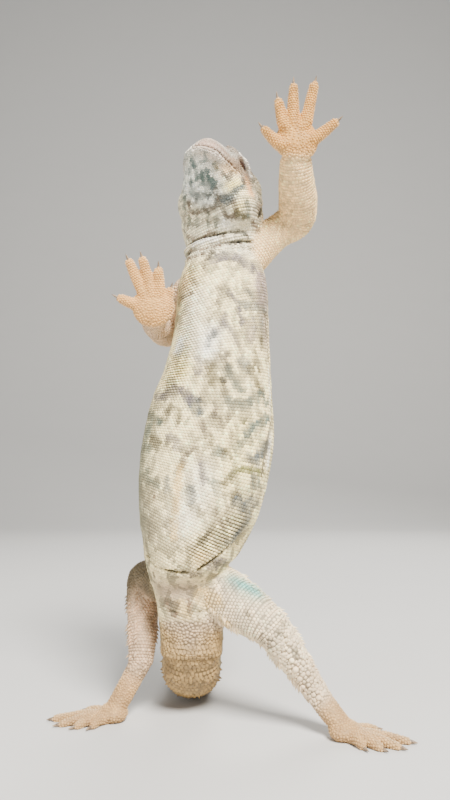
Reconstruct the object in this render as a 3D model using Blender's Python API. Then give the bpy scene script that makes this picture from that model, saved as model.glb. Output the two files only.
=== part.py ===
# A spiny-tailed lizard (uromastyx) standing upright on its hind feet, propped by its tail.
# Units are metres, +Z up. The belly faces -Y, and the lizard's own left side is on +X.
import math
import random

import bmesh
import bpy
from mathutils import Matrix, Vector
from mathutils.bvhtree import BVHTree

MM = 0.001

# Driving sizes
GAP = 0.3 * MM
VOXEL = 0.62 * MM
BODY_TRIANGLES = 7600
ORIGIN = Vector((7.6, 62.0, 0.0)) * MM

# Head: its attitude, the place of the snout's tip, and the sizes of what it carries
HEAD_ELEVATION = math.radians(36)
HEAD_TURN = math.radians(-18.2)
HEAD_ROLL = math.radians(-12.6)
SNOUT_TIP = Vector((-0.8, -22.3, 224.5)) * MM
EYE_CENTRE = Vector((-14.4, 9.2, 5.2)) * MM
EYE_RADIUS = 3.6 * MM
SOCKET_RADIUS = 4.05 * MM
EYE_FACING = Vector((0.2, 0.97, -0.02))
LID_RADIUS = 4.85 * MM
LID_SLIT_HALF = Vector((2.9, 2.4, 1.5)) * MM
LID_SLIT_TILT = math.radians(-8)
BROW_TURN = math.radians(24)
NOSTRIL = Vector((-3.0, 4.3, 3.6)) * MM
NOSTRIL_RADIUS = 0.75 * MM
EAR = Vector((-32.2, 14.6, 1.5)) * MM
EAR_CUP = Vector((1.7, 2.6, 3.8)) * MM
MOUTH_LINE = ((0.0, -2.2), (-5.0, -1.8), (-10.0, -0.5), (-14.0, 0.9), (-18.8, -0.4))
MOUTH_DEPTH = 1.0 * MM
MOUTH_OPENING = 0.55 * MM
LIP_RADIUS = 1.25 * MM

# Tail
TAIL_WHORLS = 24
TAIL_SPINES = 12
SPINE_LENGTH = 2.9 * MM
CLAW_LENGTH = 3.2 * MM

# Colours of the skin, the spines, the eyes and the claws
SKIN = (0.62, 0.58, 0.46)
TAIL_SKIN = (0.56, 0.49, 0.33)
HAND_SKIN = (0.74, 0.53, 0.36)
EYE = (0.05, 0.025, 0.015)

# Trunk stations from the tail's root to the nape, in millimetres:
# centre x, y, z, half width, depth to the belly, depth to the back, share of the head's turn
TRUNK = (
    (-5.0, 3.0, 26.0, 11.8, 8.2, 8.6, 0.0),
    (-5.0, 2.3, 36.0, 12.5, 8.5, 9.0, 0.0),
    (-5.3, 2.0, 44.0, 13.3, 9.2, 9.6, 0.0),
    (-5.6, 2.0, 49.5, 14.0, 9.8, 10.5, 0.0),
    (-6.2, 1.9, 53.8, 14.4, 10.8, 11.4, 0.0),
    (-6.8, 1.7, 58.0, 15.4, 15.4, 12.4, 0.0),
    (-6.6, 1.4, 64.0, 17.6, 18.0, 13.6, 0.0),
    (-4.8, 1.0, 72.0, 21.2, 19.2, 15.0, 0.0),
    (-2.4, 1.0, 84.0, 24.3, 19.8, 16.0, 0.0),
    (-0.4, 1.0, 97.0, 25.9, 19.6, 16.5, 0.0),
    (1.6, 1.0, 110.0, 26.1, 19.0, 16.5, 0.0),
    (3.1, 1.0, 122.0, 24.8, 18.0, 16.0, 0.0),
    (4.8, 1.2, 133.0, 22.4, 17.0, 15.5, 0.0),
    (6.1, 1.5, 145.0, 20.4, 16.0, 15.0, 0.0),
    (6.8, 2.0, 157.0, 19.3, 15.5, 14.5, 0.0),
    (7.1, 2.5, 168.0, 18.8, 15.0, 14.0, 0.0),
    (7.4, 3.2, 177.0, 17.8, 13.8, 13.0, 0.05),
    (7.5, 4.3, 184.5, 15.6, 12.0, 11.5, 0.2),
    (7.4, 5.8, 191.0, 15.6, 11.8, 10.5, 0.45),
    (7.2, 5.4, 197.5, 17.0, 12.2, 10.5, 0.7),
    (6.9, 3.2, 203.5, 17.9, 12.4, 10.5, 0.9),
    (6.4, -1.0, 208.5, 16.6, 10.4, 9.0, 1.0),
)

# Head stations from the nape to the snout, in the head's own frame, in millimetres:
# forward, half width, height of the crown, depth of the chin
HEAD = (
    (-40.0, 14.8, 9.0, 12.2),
    (-35.0, 17.2, 10.8, 12.8),
    (-30.0, 18.0, 12.0, 12.2),
    (-25.0, 17.2, 12.4, 11.0),
    (-20.0, 15.2, 12.2, 9.6),
    (-15.0, 12.9, 11.2, 8.2),
    (-10.0, 10.4, 9.7, 6.9),
    (-6.0, 8.3, 7.9, 5.7),
    (-3.0, 6.3, 6.2, 4.5),
    (-1.0, 4.4, 4.5, 3.2),
    (0.0, 2.2, 3.0, 1.8),
)

TRUNK_POWER = 2.25

# Folds round the neck: height and radius in millimetres, how steeply each rises, and its two ends in degrees
FOLDS = (
    ("fold_throat", 194.6, 0.2, 1.75, -30, 210),
    ("fold_collar", 188.0, 0.17, 1.7, -20, 215),
)

# Limbs: joints in millimetres and the radius at each
ARM_LEFT = (((14.0, 4.0, 183.0), 9.0), ((21.5, 4.0, 190.4), 8.0), ((30.0, 4.6, 198.4), 7.1),
            ((38.0, 3.6, 203.4), 7.7), ((38.4, -4.5, 208.4), 7.8), ((36.8, -13.0, 214.5), 6.8),
            ((36.2, -18.0, 219.5), 6.1))
ARM_RIGHT = (((1.0, 4.0, 173.5), 9.0), ((-7.5, 8.0, 171.5), 7.8), ((-12.2, 14.2, 164.5), 6.6),
             ((-16.6, 19.0, 157.5), 5.8), ((-19.6, 10.5, 156.8), 5.3), ((-21.2, 1.0, 157.2), 4.8),
             ((-21.0, -5.0, 158.6), 4.6))
LEG_LEFT = (((-3.0, 4.0, 52.0), 10.5), ((6.0, 1.0, 49.0), 10.6), ((15.0, -4.5, 44.5), 9.6),
            ((24.8, -10.0, 38.5), 7.2), ((31.0, -9.8, 30.5), 6.3), ((38.0, -8.8, 20.5), 4.8),
            ((42.5, -8.5, 14.0), 4.4))
LEG_RIGHT = (((-8.0, 4.0, 51.0), 9.6), ((-14.5, 9.5, 51.5), 9.2), ((-21.0, 16.8, 51.6), 8.2),
             ((-26.5, 23.0, 51.0), 7.0), ((-26.4, 18.8, 42.0), 6.6), ((-25.6, 12.5, 30.0), 5.7),
             ((-25.8, 9.0, 20.5), 4.8))

# Hands: palm centre and its digits, base to tip, thumb first, in millimetres
HAND_LEFT = {
    "palm": (36.2, -22.3, 225.0),
    "digits": (((29.6, -23.6, 222.6), (23.2, -25.8, 228.0)), ((31.2, -24.0, 230.5), (28.8, -26.0, 239.4)),
               ((34.8, -24.2, 232.5), (34.8, -26.0, 245.6)), ((39.6, -24.2, 231.8), (43.0, -26.0, 246.2)),
               ((42.4, -23.6, 225.0), (51.0, -25.8, 230.8))),
}
HAND_RIGHT = {
    "palm": (-20.8, -8.2, 162.3),
    "digits": (((-16.0, -8.6, 163.0), (-14.0, -8.4, 169.0)), ((-18.4, -9.6, 167.5), (-18.4, -11.6, 176.6)),
               ((-21.4, -9.8, 169.0), (-24.8, -12.0, 180.6)), ((-24.6, -9.4, 167.8), (-30.2, -11.6, 179.8)),
               ((-26.4, -8.6, 162.6), (-34.0, -10.0, 165.4))),
}
PALM_HALF = Vector((8.3, 3.5, 8.4)) * MM

# Feet: ball of the foot, heading of the middle toe from +X towards -Y, and the side the first toe is on
FOOT_LEFT = {"ball": (51.5, -13.5, 2.9), "heading": 28.0, "side": 1}
FOOT_RIGHT = {"ball": (-35.6, 4.5, 2.9), "heading": 162.0, "side": -1}
TOE_LENGTHS = (8.0, 12.0, 16.5, 19.0, 10.5)
TOE_SPREAD = (38.0, 19.0, 3.0, -14.0, -52.0)
TOE_RADIUS = 1.75 * MM
BALL_HALF = Vector((5.6, 6.4, 3.4)) * MM

# Tail: path from the vent, down to the floor and back along it, with half width and half depth
TAIL = (
    (-5.0, 2.6, 33.0, 12.3, 8.7),
    (-5.2, 5.4, 25.2, 11.9, 8.6),
    (-5.4, 11.0, 18.0, 11.5, 8.4),
    (-5.8, 20.0, 12.2, 11.0, 8.0),
    (-6.2, 33.0, 8.2, 10.4, 7.6),
    (-6.2, 50.0, 7.0, 9.5, 7.0),
    (-5.2, 70.0, 6.2, 8.5, 6.3),
    (-4.0, 92.0, 5.2, 7.1, 5.4),
    (-4.4, 114.0, 4.2, 5.6, 4.4),
    (-6.8, 134.0, 3.1, 4.0, 3.3),
    (-10.0, 151.0, 1.7, 1.9, 1.8),
)
TAIL_NODES = (("tail_base", 0, 7), ("tail_middle", 7, 15), ("tail_tip", 15, 24))

# Pointed scales in rows down the hind legs, in millimetres: the way that each row faces
SEED = 7
TUBERCLES = {
    "thigh_left": {"start": (16.5, -5.0, 43.8), "end": (23.8, -9.4, 39.4), "count": 4, "height": 1.2,
                   "rows": ((0.5, 0.2, 0.8), (-0.4, -0.4, -0.8))},
    "shin_left": {"start": (29.8, -9.8, 31.8), "end": (40.4, -8.7, 17.2), "count": 6, "height": 1.3,
                  "rows": ((0.8, 0.1, 0.6), (0.4, -0.9, 0.1), (-0.2, -0.9, -0.3))},
    "shin_right": {"start": (-26.2, 17.2, 39.0), "end": (-25.6, 11.0, 26.2), "count": 5, "height": 1.3,
                   "rows": ((-1.0, 0.0, 0.1), (-0.6, -0.8, 0.1), (0.0, 1.0, 0.2))},
}

# Cuts between the nodes: a point on the cut, the way it faces, the radius of the blade and how far it is
# drawn out to both sides, in millimetres
CUTS = (
    ((-5.0, 2.6, 33.0), (0.02, -0.34, 0.94), 14.2),
    ((7.2, 5.9, 195.2), (-0.45, -0.35, 0.82), 20.6),
    ((6.9, 3.4, 206.4), (-0.12, -0.5, 0.85), 20.2),
    ((28.0, 4.7, 196.2), (0.84, 0.04, 0.54), 9.4),
    ((39.2, 0.4, 204.8), (0.4, -0.75, 0.55), 10.4),
    ((36.6, -17.6, 219.0), (0.0, -0.62, 0.78), 7.0),
    ((-12.4, 12.9, 165.0), (-0.79, 0.54, -0.3), 9.2),
    ((-16.6, 15.4, 159.2), (-0.66, -0.36, -0.66), 7.2, (0.4, -4.0, 1.8)),
    ((-21.1, -4.0, 158.2), (0.0, -0.75, 0.66), 6.6),
    ((12.0, -2.8, 46.0), (0.82, -0.42, -0.38), 13.0),
    ((27.0, -10.2, 35.6), (0.62, 0.02, -0.78), 9.8),
    ((41.6, -8.6, 15.3), (0.6, 0.05, -0.8), 7.0),
    ((-16.9, 12.4, 52.0), (-0.66, 0.71, -0.25), 11.8),
    ((-25.2, 20.6, 49.4), (-0.54, 0.27, -0.8), 10.8),
    ((-25.6, 9.9, 22.6), (-0.12, -0.36, -0.93), 7.4),
)

# A point inside each fleshy node, in millimetres, by which its solid is known
NODES = {
    "torso": (1.0, 1.0, 110.0),
    "neck": (7.3, 6.0, 199.0),
    "head": (2.4, -8.0, 219.0),
    "upper_arm_left": (34.0, 4.4, 199.8),
    "forearm_left": (37.8, -9.0, 211.2),
    "hand_left": (36.0, -23.0, 229.0),
    "upper_arm_right": (-14.4, 16.8, 161.6),
    "forearm_right": (-20.6, 5.0, 157.0),
    "hand_right": (-22.0, -9.0, 166.0),
    "thigh_left": (19.0, -7.0, 42.0),
    "shin_left": (34.0, -9.6, 26.0),
    "foot_left": (54.0, -14.0, 4.0),
    "thigh_right": (-21.5, 17.3, 51.6),
    "shin_right": (-25.9, 15.0, 35.5),
    "foot_right": (-38.0, 4.0, 4.0),
}


def clear_scene():
    for obj in list(bpy.data.objects):
        bpy.data.objects.remove(obj, do_unlink=True)


def material(name, colour, roughness):
    made = bpy.data.materials.new(name)
    made.use_nodes = True
    shader = made.node_tree.nodes["Principled BSDF"]
    shader.inputs["Base Color"].default_value = (*colour, 1.0)
    shader.inputs["Roughness"].default_value = roughness
    shader.inputs["Metallic"].default_value = 0.0
    return made


def new_object(name, bm):
    bmesh.ops.recalc_face_normals(bm, faces=bm.faces)
    if bm.calc_volume(signed=True) < 0:
        bmesh.ops.reverse_faces(bm, faces=bm.faces)
    mesh = bpy.data.meshes.new(name)
    bm.to_mesh(mesh)
    bm.free()
    obj = bpy.data.objects.new(name, mesh)
    bpy.context.scene.collection.objects.link(obj)
    return obj


def head_axes():
    """The head's forward, left and crown directions."""
    forward = Vector((
        math.sin(HEAD_TURN) * math.cos(HEAD_ELEVATION),
        -math.cos(HEAD_TURN) * math.cos(HEAD_ELEVATION),
        math.sin(HEAD_ELEVATION),
    ))
    level = Vector((0, 0, 1)).cross(forward).normalized()
    upright = forward.cross(level)
    left = level * math.cos(HEAD_ROLL) + upright * math.sin(HEAD_ROLL)
    return forward, left, forward.cross(left)


def head_matrix():
    forward, left, crown = head_axes()
    return Matrix.Translation(SNOUT_TIP) @ Matrix((forward, left, crown)).transposed().to_4x4()


def spline(rows, steps):
    """Rows of numbers made denser by a Catmull-Rom curve that passes through each of them."""
    made = []
    last = len(rows) - 1
    for i in range(last):
        before, start = rows[max(i - 1, 0)], rows[i]
        end, after = rows[i + 1], rows[min(i + 2, last)]
        for k in range(steps):
            t = k / steps
            made.append(tuple(
                0.5 * (2 * b + (c - a) * t + (2 * a - 5 * b + 4 * c - d) * t * t
                       + (3 * b - a - 3 * c + d) * t ** 3)
                for a, b, c, d in zip(before, start, end, after)
            ))
    made.append(tuple(rows[last]))
    return made


def tangents(centres):
    last = len(centres) - 1
    return [
        (centres[min(i + 1, last)] - centres[max(i - 1, 0)]).normalized() for i in range(last + 1)
    ]


def oval(centre, side, front, half_width, front_depth, back_depth, count, power=2.0):
    """A ring of points round an oval whose front and back halves have their own depths."""
    ring = []
    for k in range(count):
        angle = 2 * math.pi * k / count
        c, s = math.cos(angle), math.sin(angle)
        across = half_width * math.copysign(abs(c) ** (2 / power), c)
        depth = (front_depth if s > 0 else back_depth) * math.copysign(abs(s) ** (2 / power), s)
        ring.append(centre + side * across + front * depth)
    return ring


def loft(name, rings):
    """A closed body through rings of equal count, its two ends capped."""
    bm = bmesh.new()
    loops = [[bm.verts.new(point) for point in ring] for ring in rings]
    count = len(rings[0])
    for lower, upper in zip(loops, loops[1:]):
        for k in range(count):
            n = (k + 1) % count
            bm.faces.new((lower[k], lower[n], upper[n], upper[k]))
    for ring in (loops[0], loops[-1]):
        middle = bm.verts.new(sum((v.co for v in ring), Vector()) / count)
        for k in range(count):
            bm.faces.new((ring[k], ring[(k + 1) % count], middle))
    return new_object(name, bm)


def trunk_sections():
    """Each trunk station as centre, side, front, half width, front depth and back depth."""
    rows = spline(TRUNK, 3)
    centres = [Vector(row[:3]) * MM for row in rows]
    head_left = head_axes()[1]
    made = []
    for row, centre, along in zip(rows, centres, tangents(centres)):
        side = Vector((1, 0, 0)).lerp(head_left, row[6])
        side = (side - along * side.dot(along)).normalized()
        front = side.cross(along)
        made.append((centre, side, front, row[3] * MM, row[4] * MM, row[5] * MM))
    return made


def trunk():
    rings = [oval(*section, count=40, power=TRUNK_POWER) for section in trunk_sections()]
    return loft("trunk", rings)


def tube(name, points, radii, count=14, flat=1.0, across=Vector((0, 0, 1))):
    """A round or flattened tube with domed ends through points, thinnest along across."""
    rows = spline([(*p, r) for p, r in zip(points, radii)], 4)
    centres = [Vector(row[:3]) for row in rows]
    ways = tangents(centres)
    centres = [centres[0] - ways[0] * radii[0] * 0.5, *centres, centres[-1] + ways[-1] * radii[-1] * 0.6]
    ways = [ways[0], *ways, ways[-1]]
    sizes = [radii[0] * 0.6, *(row[3] for row in rows), radii[-1] * 0.55]
    rings = []
    for centre, way, size in zip(centres, ways, sizes):
        thin = (across - way * across.dot(way)).normalized()
        rings.append(oval(centre, way.cross(thin), thin, size, size * flat, size * flat, count))
    return loft(name, rings)


def limb(name, joints):
    points = [Vector(point) * MM for point, radius in joints]
    return tube(name, points, [radius * MM for point, radius in joints], 18, 0.94, Vector((0.1, 1, 0.2)))


def ellipsoid(name, centre, radii, turn=None, detail=3):
    bm = bmesh.new()
    bmesh.ops.create_icosphere(bm, subdivisions=detail, radius=1.0)
    matrix = Matrix.Translation(centre) @ (turn or Matrix.Identity(4)) @ Matrix.Diagonal((*radii, 1.0))
    bmesh.ops.transform(bm, matrix=matrix, verts=bm.verts)
    return new_object(name, bm)


def head_row(forward):
    """Half width, crown height and chin depth of the head at a distance from the snout's tip."""
    for a, b in zip(HEAD, HEAD[1:]):
        if a[0] * MM <= forward <= b[0] * MM:
            t = (forward / MM - a[0]) / (b[0] - a[0])
            return [(p + (q - p) * t) * MM for p, q in zip(a[1:], b[1:])]
    return [size * MM for size in HEAD[-1][1:]]


def mouth_height(forward):
    """The mouth line rises below the eye and drops to its corner."""
    for (front, low), (back, high) in zip(MOUTH_LINE, MOUTH_LINE[1:]):
        if forward >= back * MM:
            share = (forward / MM - front) / (back - front)
            return (low + (high - low) * share * share * (3 - 2 * share)) * MM
    return MOUTH_LINE[-1][1] * MM


def mouth_line():
    """Points of the mouth line round the snout, right corner to left, with the way out from each."""
    stations = [MOUTH_LINE[-1][0] * MM * (1 - k / 9) for k in range(9)]
    made = []
    for side in (-1, 1):
        half = []
        for forward in stations:
            half.append(Vector((forward, side * (head_row(forward)[0] + 0.2 * MM), mouth_height(forward))))
        made.append(half)
    points = made[0] + [Vector((-0.1 * MM, 0, mouth_height(0)))] + made[1][::-1]
    outward = []
    for way in tangents(points):
        outward.append(Vector((way.y, -way.x, 0)).normalized())
    return points, outward


def head_pieces():
    """What the head is fused from, in its own frame and then set on the neck."""
    pieces = []
    rings = []
    for forward, width, crown, chin in spline(HEAD, 3):
        centre = Vector((forward, 0, 0)) * MM
        rings.append(oval(centre, Vector((0, 1, 0)), Vector((0, 0, 1)), width * MM, crown * MM,
                          chin * MM, 32, 2.3))
    pieces.append(loft("skull", rings))
    points, outward = mouth_line()
    for name, rise in (("lip_upper", 1.0), ("lip_lower", -1.0)):
        sunk = [p - way * LIP_RADIUS * 0.72 + Vector((0, 0, rise * LIP_RADIUS)) for p, way in zip(points, outward)]
        middle = (len(sunk) - 1) / 2
        shares = [(abs(k - middle) / middle) ** 3 for k in range(len(sunk))]
        sunk = [p - way * LIP_RADIUS * 0.7 * share for p, way, share in zip(sunk, outward, shares)]
        radii = [LIP_RADIUS * (1 - 0.35 * share) for share in shares]
        pieces.append(tube(name, sunk, radii, 10))
    for side in (-1, 1):
        def at(x, y, z):
            return Vector((x, y * side, z)) * MM
        pieces.append(ellipsoid("jowl", at(-27.5, 9.2, -2.5), Vector((9.5, 8.2, 8.4)) * MM))
        pieces.append(ellipsoid("temple", at(-24.8, 9.2, 5.2), Vector((8.4, 7.0, 5.8)) * MM))
        inwards = Matrix.Rotation(-BROW_TURN * side, 4, "Z")
        pieces.append(ellipsoid("brow", at(-13.8, 8.4, 7.2), Vector((8.6, 3.4, 2.8)) * MM, inwards))
        pieces.append(ellipsoid("orbit", at(-14.6, 8.2, 4.8), Vector((6.4, 5.2, 5.0)) * MM))
        pieces.append(ellipsoid("nostril_swelling", at(-3.8, 3.6, 2.9), Vector((2.8, 2.0, 1.7)) * MM))
    matrix = head_matrix()
    for piece in pieces:
        piece.data.transform(matrix)
    return pieces


def neck_folds():
    """Loose folds of skin that lap round the throat's base and rise to the side of the raised arm."""
    sections = trunk_sections()
    made = []
    for name, height, rise, radius, start, end in FOLDS:
        centre, side, front, width, depth, back = min(sections, key=lambda s: abs(s[0].z - height * MM))
        points = []
        for k in range(17):
            angle = math.radians(start + (end - start) * k / 16)
            c, s = (math.copysign(abs(v) ** (2 / TRUNK_POWER), v) for v in (math.cos(angle), math.sin(angle)))
            reach = depth if s > 0 else back
            point = centre + side * c * (width - 0.5 * MM) + front * s * (reach - 0.4 * MM)
            point.z = height * MM + rise * (point.x - centre.x)
            points.append(point)
        made.append(tube(name, points, [radius * MM] * len(points), 10))
    return made


def hand_pieces(name, hand):
    palm = Vector(hand["palm"]) * MM
    pieces = [ellipsoid(name + "_palm", palm, PALM_HALF)]
    for base, tip in hand["digits"]:
        start, end = Vector(base) * MM, Vector(tip) * MM
        root = palm.lerp(start, 0.55)
        knuckle = start.lerp(end, 0.5) + Vector((0, 0.5 * MM, 0))
        points = [root, start, knuckle, end]
        pieces.append(tube(name + "_digit", points, [2.8 * MM, 2.4 * MM, 2.15 * MM, 1.65 * MM], 10, 0.9,
                           Vector((0, 1, 0))))
    return pieces


def toe_lines(foot):
    """Base, knuckle and tip of each toe, the first toe first."""
    ball = Vector(foot["ball"]) * MM
    made = []
    for length, spread in zip(TOE_LENGTHS, TOE_SPREAD):
        heading = math.radians(foot["heading"] + spread * foot["side"])
        way = Vector((math.cos(heading), -math.sin(heading), 0))
        reach = length * MM
        base = ball + way * 3.6 * MM
        knuckle = ball + way * (4.4 * MM + reach * 0.45)
        tip = ball + way * (3.6 * MM + reach)
        base.z, knuckle.z, tip.z = 1.9 * MM, 2.1 * MM, 0.95 * MM
        made.append((base, knuckle, tip))
    return made


def foot_pieces(name, foot, ankle):
    ball = Vector(foot["ball"]) * MM
    heel = Vector(ankle) * MM
    way = (ball - heel).normalized()
    pieces = [
        tube(name + "_sole", [heel, heel.lerp(ball, 0.5), ball], [4.4 * MM, 4.3 * MM, 4.2 * MM], 14, 0.9),
        ellipsoid(name + "_ball", ball, BALL_HALF, Matrix.Rotation(math.atan2(way.y, way.x), 4, "Z")),
    ]
    for base, knuckle, tip in toe_lines(foot):
        root = ball.lerp(base, 0.3)
        pieces.append(tube(name + "_toe", [root, base, knuckle, tip],
                           [2.5 * MM, 2.2 * MM, TOE_RADIUS, 1.3 * MM], 10))
    return pieces


def applied(obj):
    """The object's mesh with its modifiers worked in."""
    graph = bpy.context.evaluated_depsgraph_get()
    mesh = bpy.data.meshes.new_from_object(obj.evaluated_get(graph))
    old = obj.data
    obj.modifiers.clear()
    obj.data = mesh
    bpy.data.meshes.remove(old)
    return obj


def joined(name, objects):
    """Several closed bodies in one mesh, still overlapping."""
    bm = bmesh.new()
    for obj in objects:
        bm.from_mesh(obj.data)
        bpy.data.objects.remove(obj, do_unlink=True)
    return new_object(name, bm)


def boolean(obj, tool, operation, overlapping=False, solver="EXACT"):
    """Cuts with or fuses on a tool, which may be several closed bodies that overlap each other."""
    step = obj.modifiers.new(operation.lower(), "BOOLEAN")
    step.object = tool
    step.operation = operation
    step.solver = solver
    if solver == "EXACT":
        step.use_self = overlapping
    applied(obj)
    bpy.data.objects.remove(tool, do_unlink=True)
    return obj


def fused_body():
    """The whole animal without its tail and fine forms, melted into one smooth surface."""
    pieces = [trunk(), *head_pieces(), *neck_folds()]
    for name, joints in (("arm_left", ARM_LEFT), ("arm_right", ARM_RIGHT),
                         ("leg_left", LEG_LEFT), ("leg_right", LEG_RIGHT)):
        pieces.append(limb(name, joints))
    pieces += hand_pieces("hand_left", HAND_LEFT) + hand_pieces("hand_right", HAND_RIGHT)
    pieces += foot_pieces("foot_left", FOOT_LEFT, LEG_LEFT[-1][0])
    pieces += foot_pieces("foot_right", FOOT_RIGHT, LEG_RIGHT[-1][0])
    body = joined("body", pieces)
    melt = body.modifiers.new("melt", "REMESH")
    melt.mode = "VOXEL"
    melt.voxel_size = VOXEL
    applied(body)
    fillets = body.vertex_groups.new(name="fillets")
    roots = [Vector(joints[k][0]) * MM for joints in (ARM_LEFT, ARM_RIGHT, LEG_LEFT, LEG_RIGHT) for k in (1, 2)]
    for vertex in body.data.vertices:
        nearest = min((vertex.co - root).length for root in roots)
        weight = max(0.0, min(1.0, 1.6 - nearest / (11 * MM)))
        if weight > 0:
            fillets.add([vertex.index], weight, "REPLACE")
    round_roots = body.modifiers.new("round_roots", "SMOOTH")
    round_roots.factor, round_roots.iterations, round_roots.vertex_group = 0.5, 24, "fillets"
    even = body.modifiers.new("even", "SMOOTH")
    even.factor, even.iterations = 0.5, 3
    fewer = body.modifiers.new("fewer", "DECIMATE")
    fewer.ratio = min(1.0, BODY_TRIANGLES / (2 * len(body.data.polygons)))
    fewer.use_collapse_triangulate = True
    return applied(body)


def blade(point, facing, radius, drawn=(0, 0, 0)):
    """A thin disc. Drawn out, it's a slot with round ends."""
    bm = bmesh.new()
    bmesh.ops.create_cone(bm, cap_ends=True, segments=20, radius1=radius * MM, radius2=radius * MM, depth=GAP)
    way = Vector(facing).normalized()
    bmesh.ops.transform(bm, matrix=way.to_track_quat("Z", "Y").to_matrix().to_4x4(), verts=bm.verts)
    reach = Vector(drawn) * MM
    reach -= way * reach.dot(way)
    for vertex in bm.verts:
        vertex.co += reach * math.copysign(1, vertex.co.dot(reach)) + Vector(point) * MM
    return new_object("blade", bm)


def floor_cutter(top=0.0):
    bm = bmesh.new()
    bmesh.ops.create_cube(bm, size=0.5)
    bmesh.ops.translate(bm, vec=Vector((0, 0, top - 0.25)), verts=bm.verts)
    return new_object("floor", bm)


def islands(obj):
    """Sets of vertex indices, one for each loose part of the mesh."""
    bm = bmesh.new()
    bm.from_mesh(obj.data)
    seen = set()
    found = []
    for first in bm.verts:
        if first.index in seen:
            continue
        group, edge = {first.index}, [first]
        while edge:
            for link in edge.pop().link_edges:
                for vertex in link.verts:
                    if vertex.index not in group:
                        group.add(vertex.index)
                        edge.append(vertex)
        seen |= group
        found.append(group)
    bm.free()
    return found


def part_of(obj, name, keep):
    """A new object with only the kept vertices of obj."""
    bm = bmesh.new()
    bm.from_mesh(obj.data)
    bmesh.ops.delete(bm, geom=[v for v in bm.verts if v.index not in keep], context="VERTS")
    return new_object(name, bm)


def largest_only(obj):
    """Keeps only the largest closed surface, which drops a scrap or a sealed hollow."""
    groups = islands(obj)
    if len(groups) == 1:
        return obj
    keep = max(groups, key=len)
    made = part_of(obj, obj.name + "_whole", keep)
    name = obj.name
    bpy.data.objects.remove(obj, do_unlink=True)
    made.name = name
    return made


def holds(obj, point):
    """True if a point is inside a closed mesh."""
    tree = BVHTree.FromPolygons([v.co for v in obj.data.vertices], [p.vertices[:] for p in obj.data.polygons])
    way = Vector((0.31, 0.47, 0.83)).normalized()
    crossings = 0
    start = point.copy()
    while True:
        hit = tree.ray_cast(start, way)[0]
        if hit is None:
            return crossings % 2 == 1
        crossings += 1
        start = hit + way * 1e-6


def flesh_nodes():
    """The melted body parted at its joints, each part named by the point that it holds."""
    body = boolean(fused_body(), floor_cutter(), "DIFFERENCE")
    for cut in CUTS:
        boolean(body, blade(*cut), "DIFFERENCE", solver="MANIFOLD")
    parts = [part_of(body, "part", group) for group in islands(body) if len(group) > 12]
    bpy.data.objects.remove(body, do_unlink=True)
    nodes = {}
    for name, inside in NODES.items():
        found = [part for part in parts if holds(part, Vector(inside) * MM)]
        if len(found) != 1:
            raise RuntimeError(name + " isn't parted from its neighbours")
        found[0].name = name
        nodes[name] = found[0]
        parts.remove(found[0])
    # What is left is the trunk's stub below the cut at the tail's root, whose place the tail takes.
    for stub in parts:
        bpy.data.objects.remove(stub, do_unlink=True)
    return nodes


def band(name, points, outward, inner, outer, height):
    """A flat strip with a rectangular section that follows points and reaches inwards and outwards."""
    rings = []
    for point, way in zip(points, outward):
        up = Vector((0, 0, height / 2))
        rings.append([point - way * inner - up, point + way * outer - up, point + way * outer + up,
                      point - way * inner + up])
    return loft(name, rings)


def eye_turn(side):
    """The turn that lays X along the slit between the lids and Y straight out of the eye."""
    out = Vector((EYE_FACING.x, EYE_FACING.y * side, EYE_FACING.z)).normalized()
    flat = (Vector((1, 0, 0)) - out * out.x).normalized()
    along = flat * math.cos(LID_SLIT_TILT) + Vector((0, 0, 1)) * math.sin(LID_SLIT_TILT)
    along = (along - out * out.dot(along)).normalized()
    return Matrix((along, out, along.cross(out))).transposed().to_4x4()


def finish_head(head):
    """Cuts the mouth line, nostrils, ear cups and sockets, then fuses the lids on."""
    matrix = head_matrix()
    points, outward = mouth_line()
    tree = BVHTree.FromPolygons([v.co for v in head.data.vertices], [p.vertices[:] for p in head.data.polygons])
    tools = []
    for side in (-1, 1):
        for name, place, radii in (("nostril", NOSTRIL, [NOSTRIL_RADIUS] * 3), ("ear", EAR, EAR_CUP)):
            outwards = matrix.to_3x3() @ Vector((0.25, side, 0.25)).normalized()
            spot = matrix @ Vector((place.x, place.y * side, place.z))
            on_skin = tree.ray_cast(spot + outwards * 15 * MM, -outwards)[0]
            tool = ellipsoid(name, Vector((0, 0, 0)), radii, detail=2)
            tool.data.transform(Matrix.Translation(on_skin) @ matrix.to_3x3().to_4x4())
            tools.append(tool)
    mouth = band("mouth", points, outward, MOUTH_DEPTH, 2.2 * MM, MOUTH_OPENING)
    mouth.data.transform(matrix)
    for tool in [mouth, *tools]:
        boolean(head, tool, "DIFFERENCE", solver="MANIFOLD")
    eyes = []
    for side, name in ((1, "eye_left"), (-1, "eye_right")):
        centre = Vector((EYE_CENTRE.x, EYE_CENTRE.y * side, EYE_CENTRE.z))
        lids = ellipsoid("lids", centre, [LID_RADIUS] * 3, detail=2)
        lids.data.transform(matrix)
        boolean(head, lids, "UNION", solver="MANIFOLD")
        socket = ellipsoid("socket", centre, [SOCKET_RADIUS] * 3, detail=2)
        socket.data.transform(matrix)
        boolean(head, socket, "DIFFERENCE", solver="MANIFOLD")
        slit = ellipsoid("slit", Vector((0, EYE_RADIUS, 0)), LID_SLIT_HALF, detail=2)
        slit.data.transform(matrix @ Matrix.Translation(centre) @ eye_turn(side))
        boolean(head, slit, "DIFFERENCE", solver="MANIFOLD")
        bm = bmesh.new()
        bmesh.ops.create_uvsphere(bm, u_segments=16, v_segments=9, radius=EYE_RADIUS)
        eye = new_object(name, bm)
        eye.data.transform(matrix @ Matrix.Translation(centre))
        eyes.append(eye)
    return largest_only(head), eyes


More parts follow.
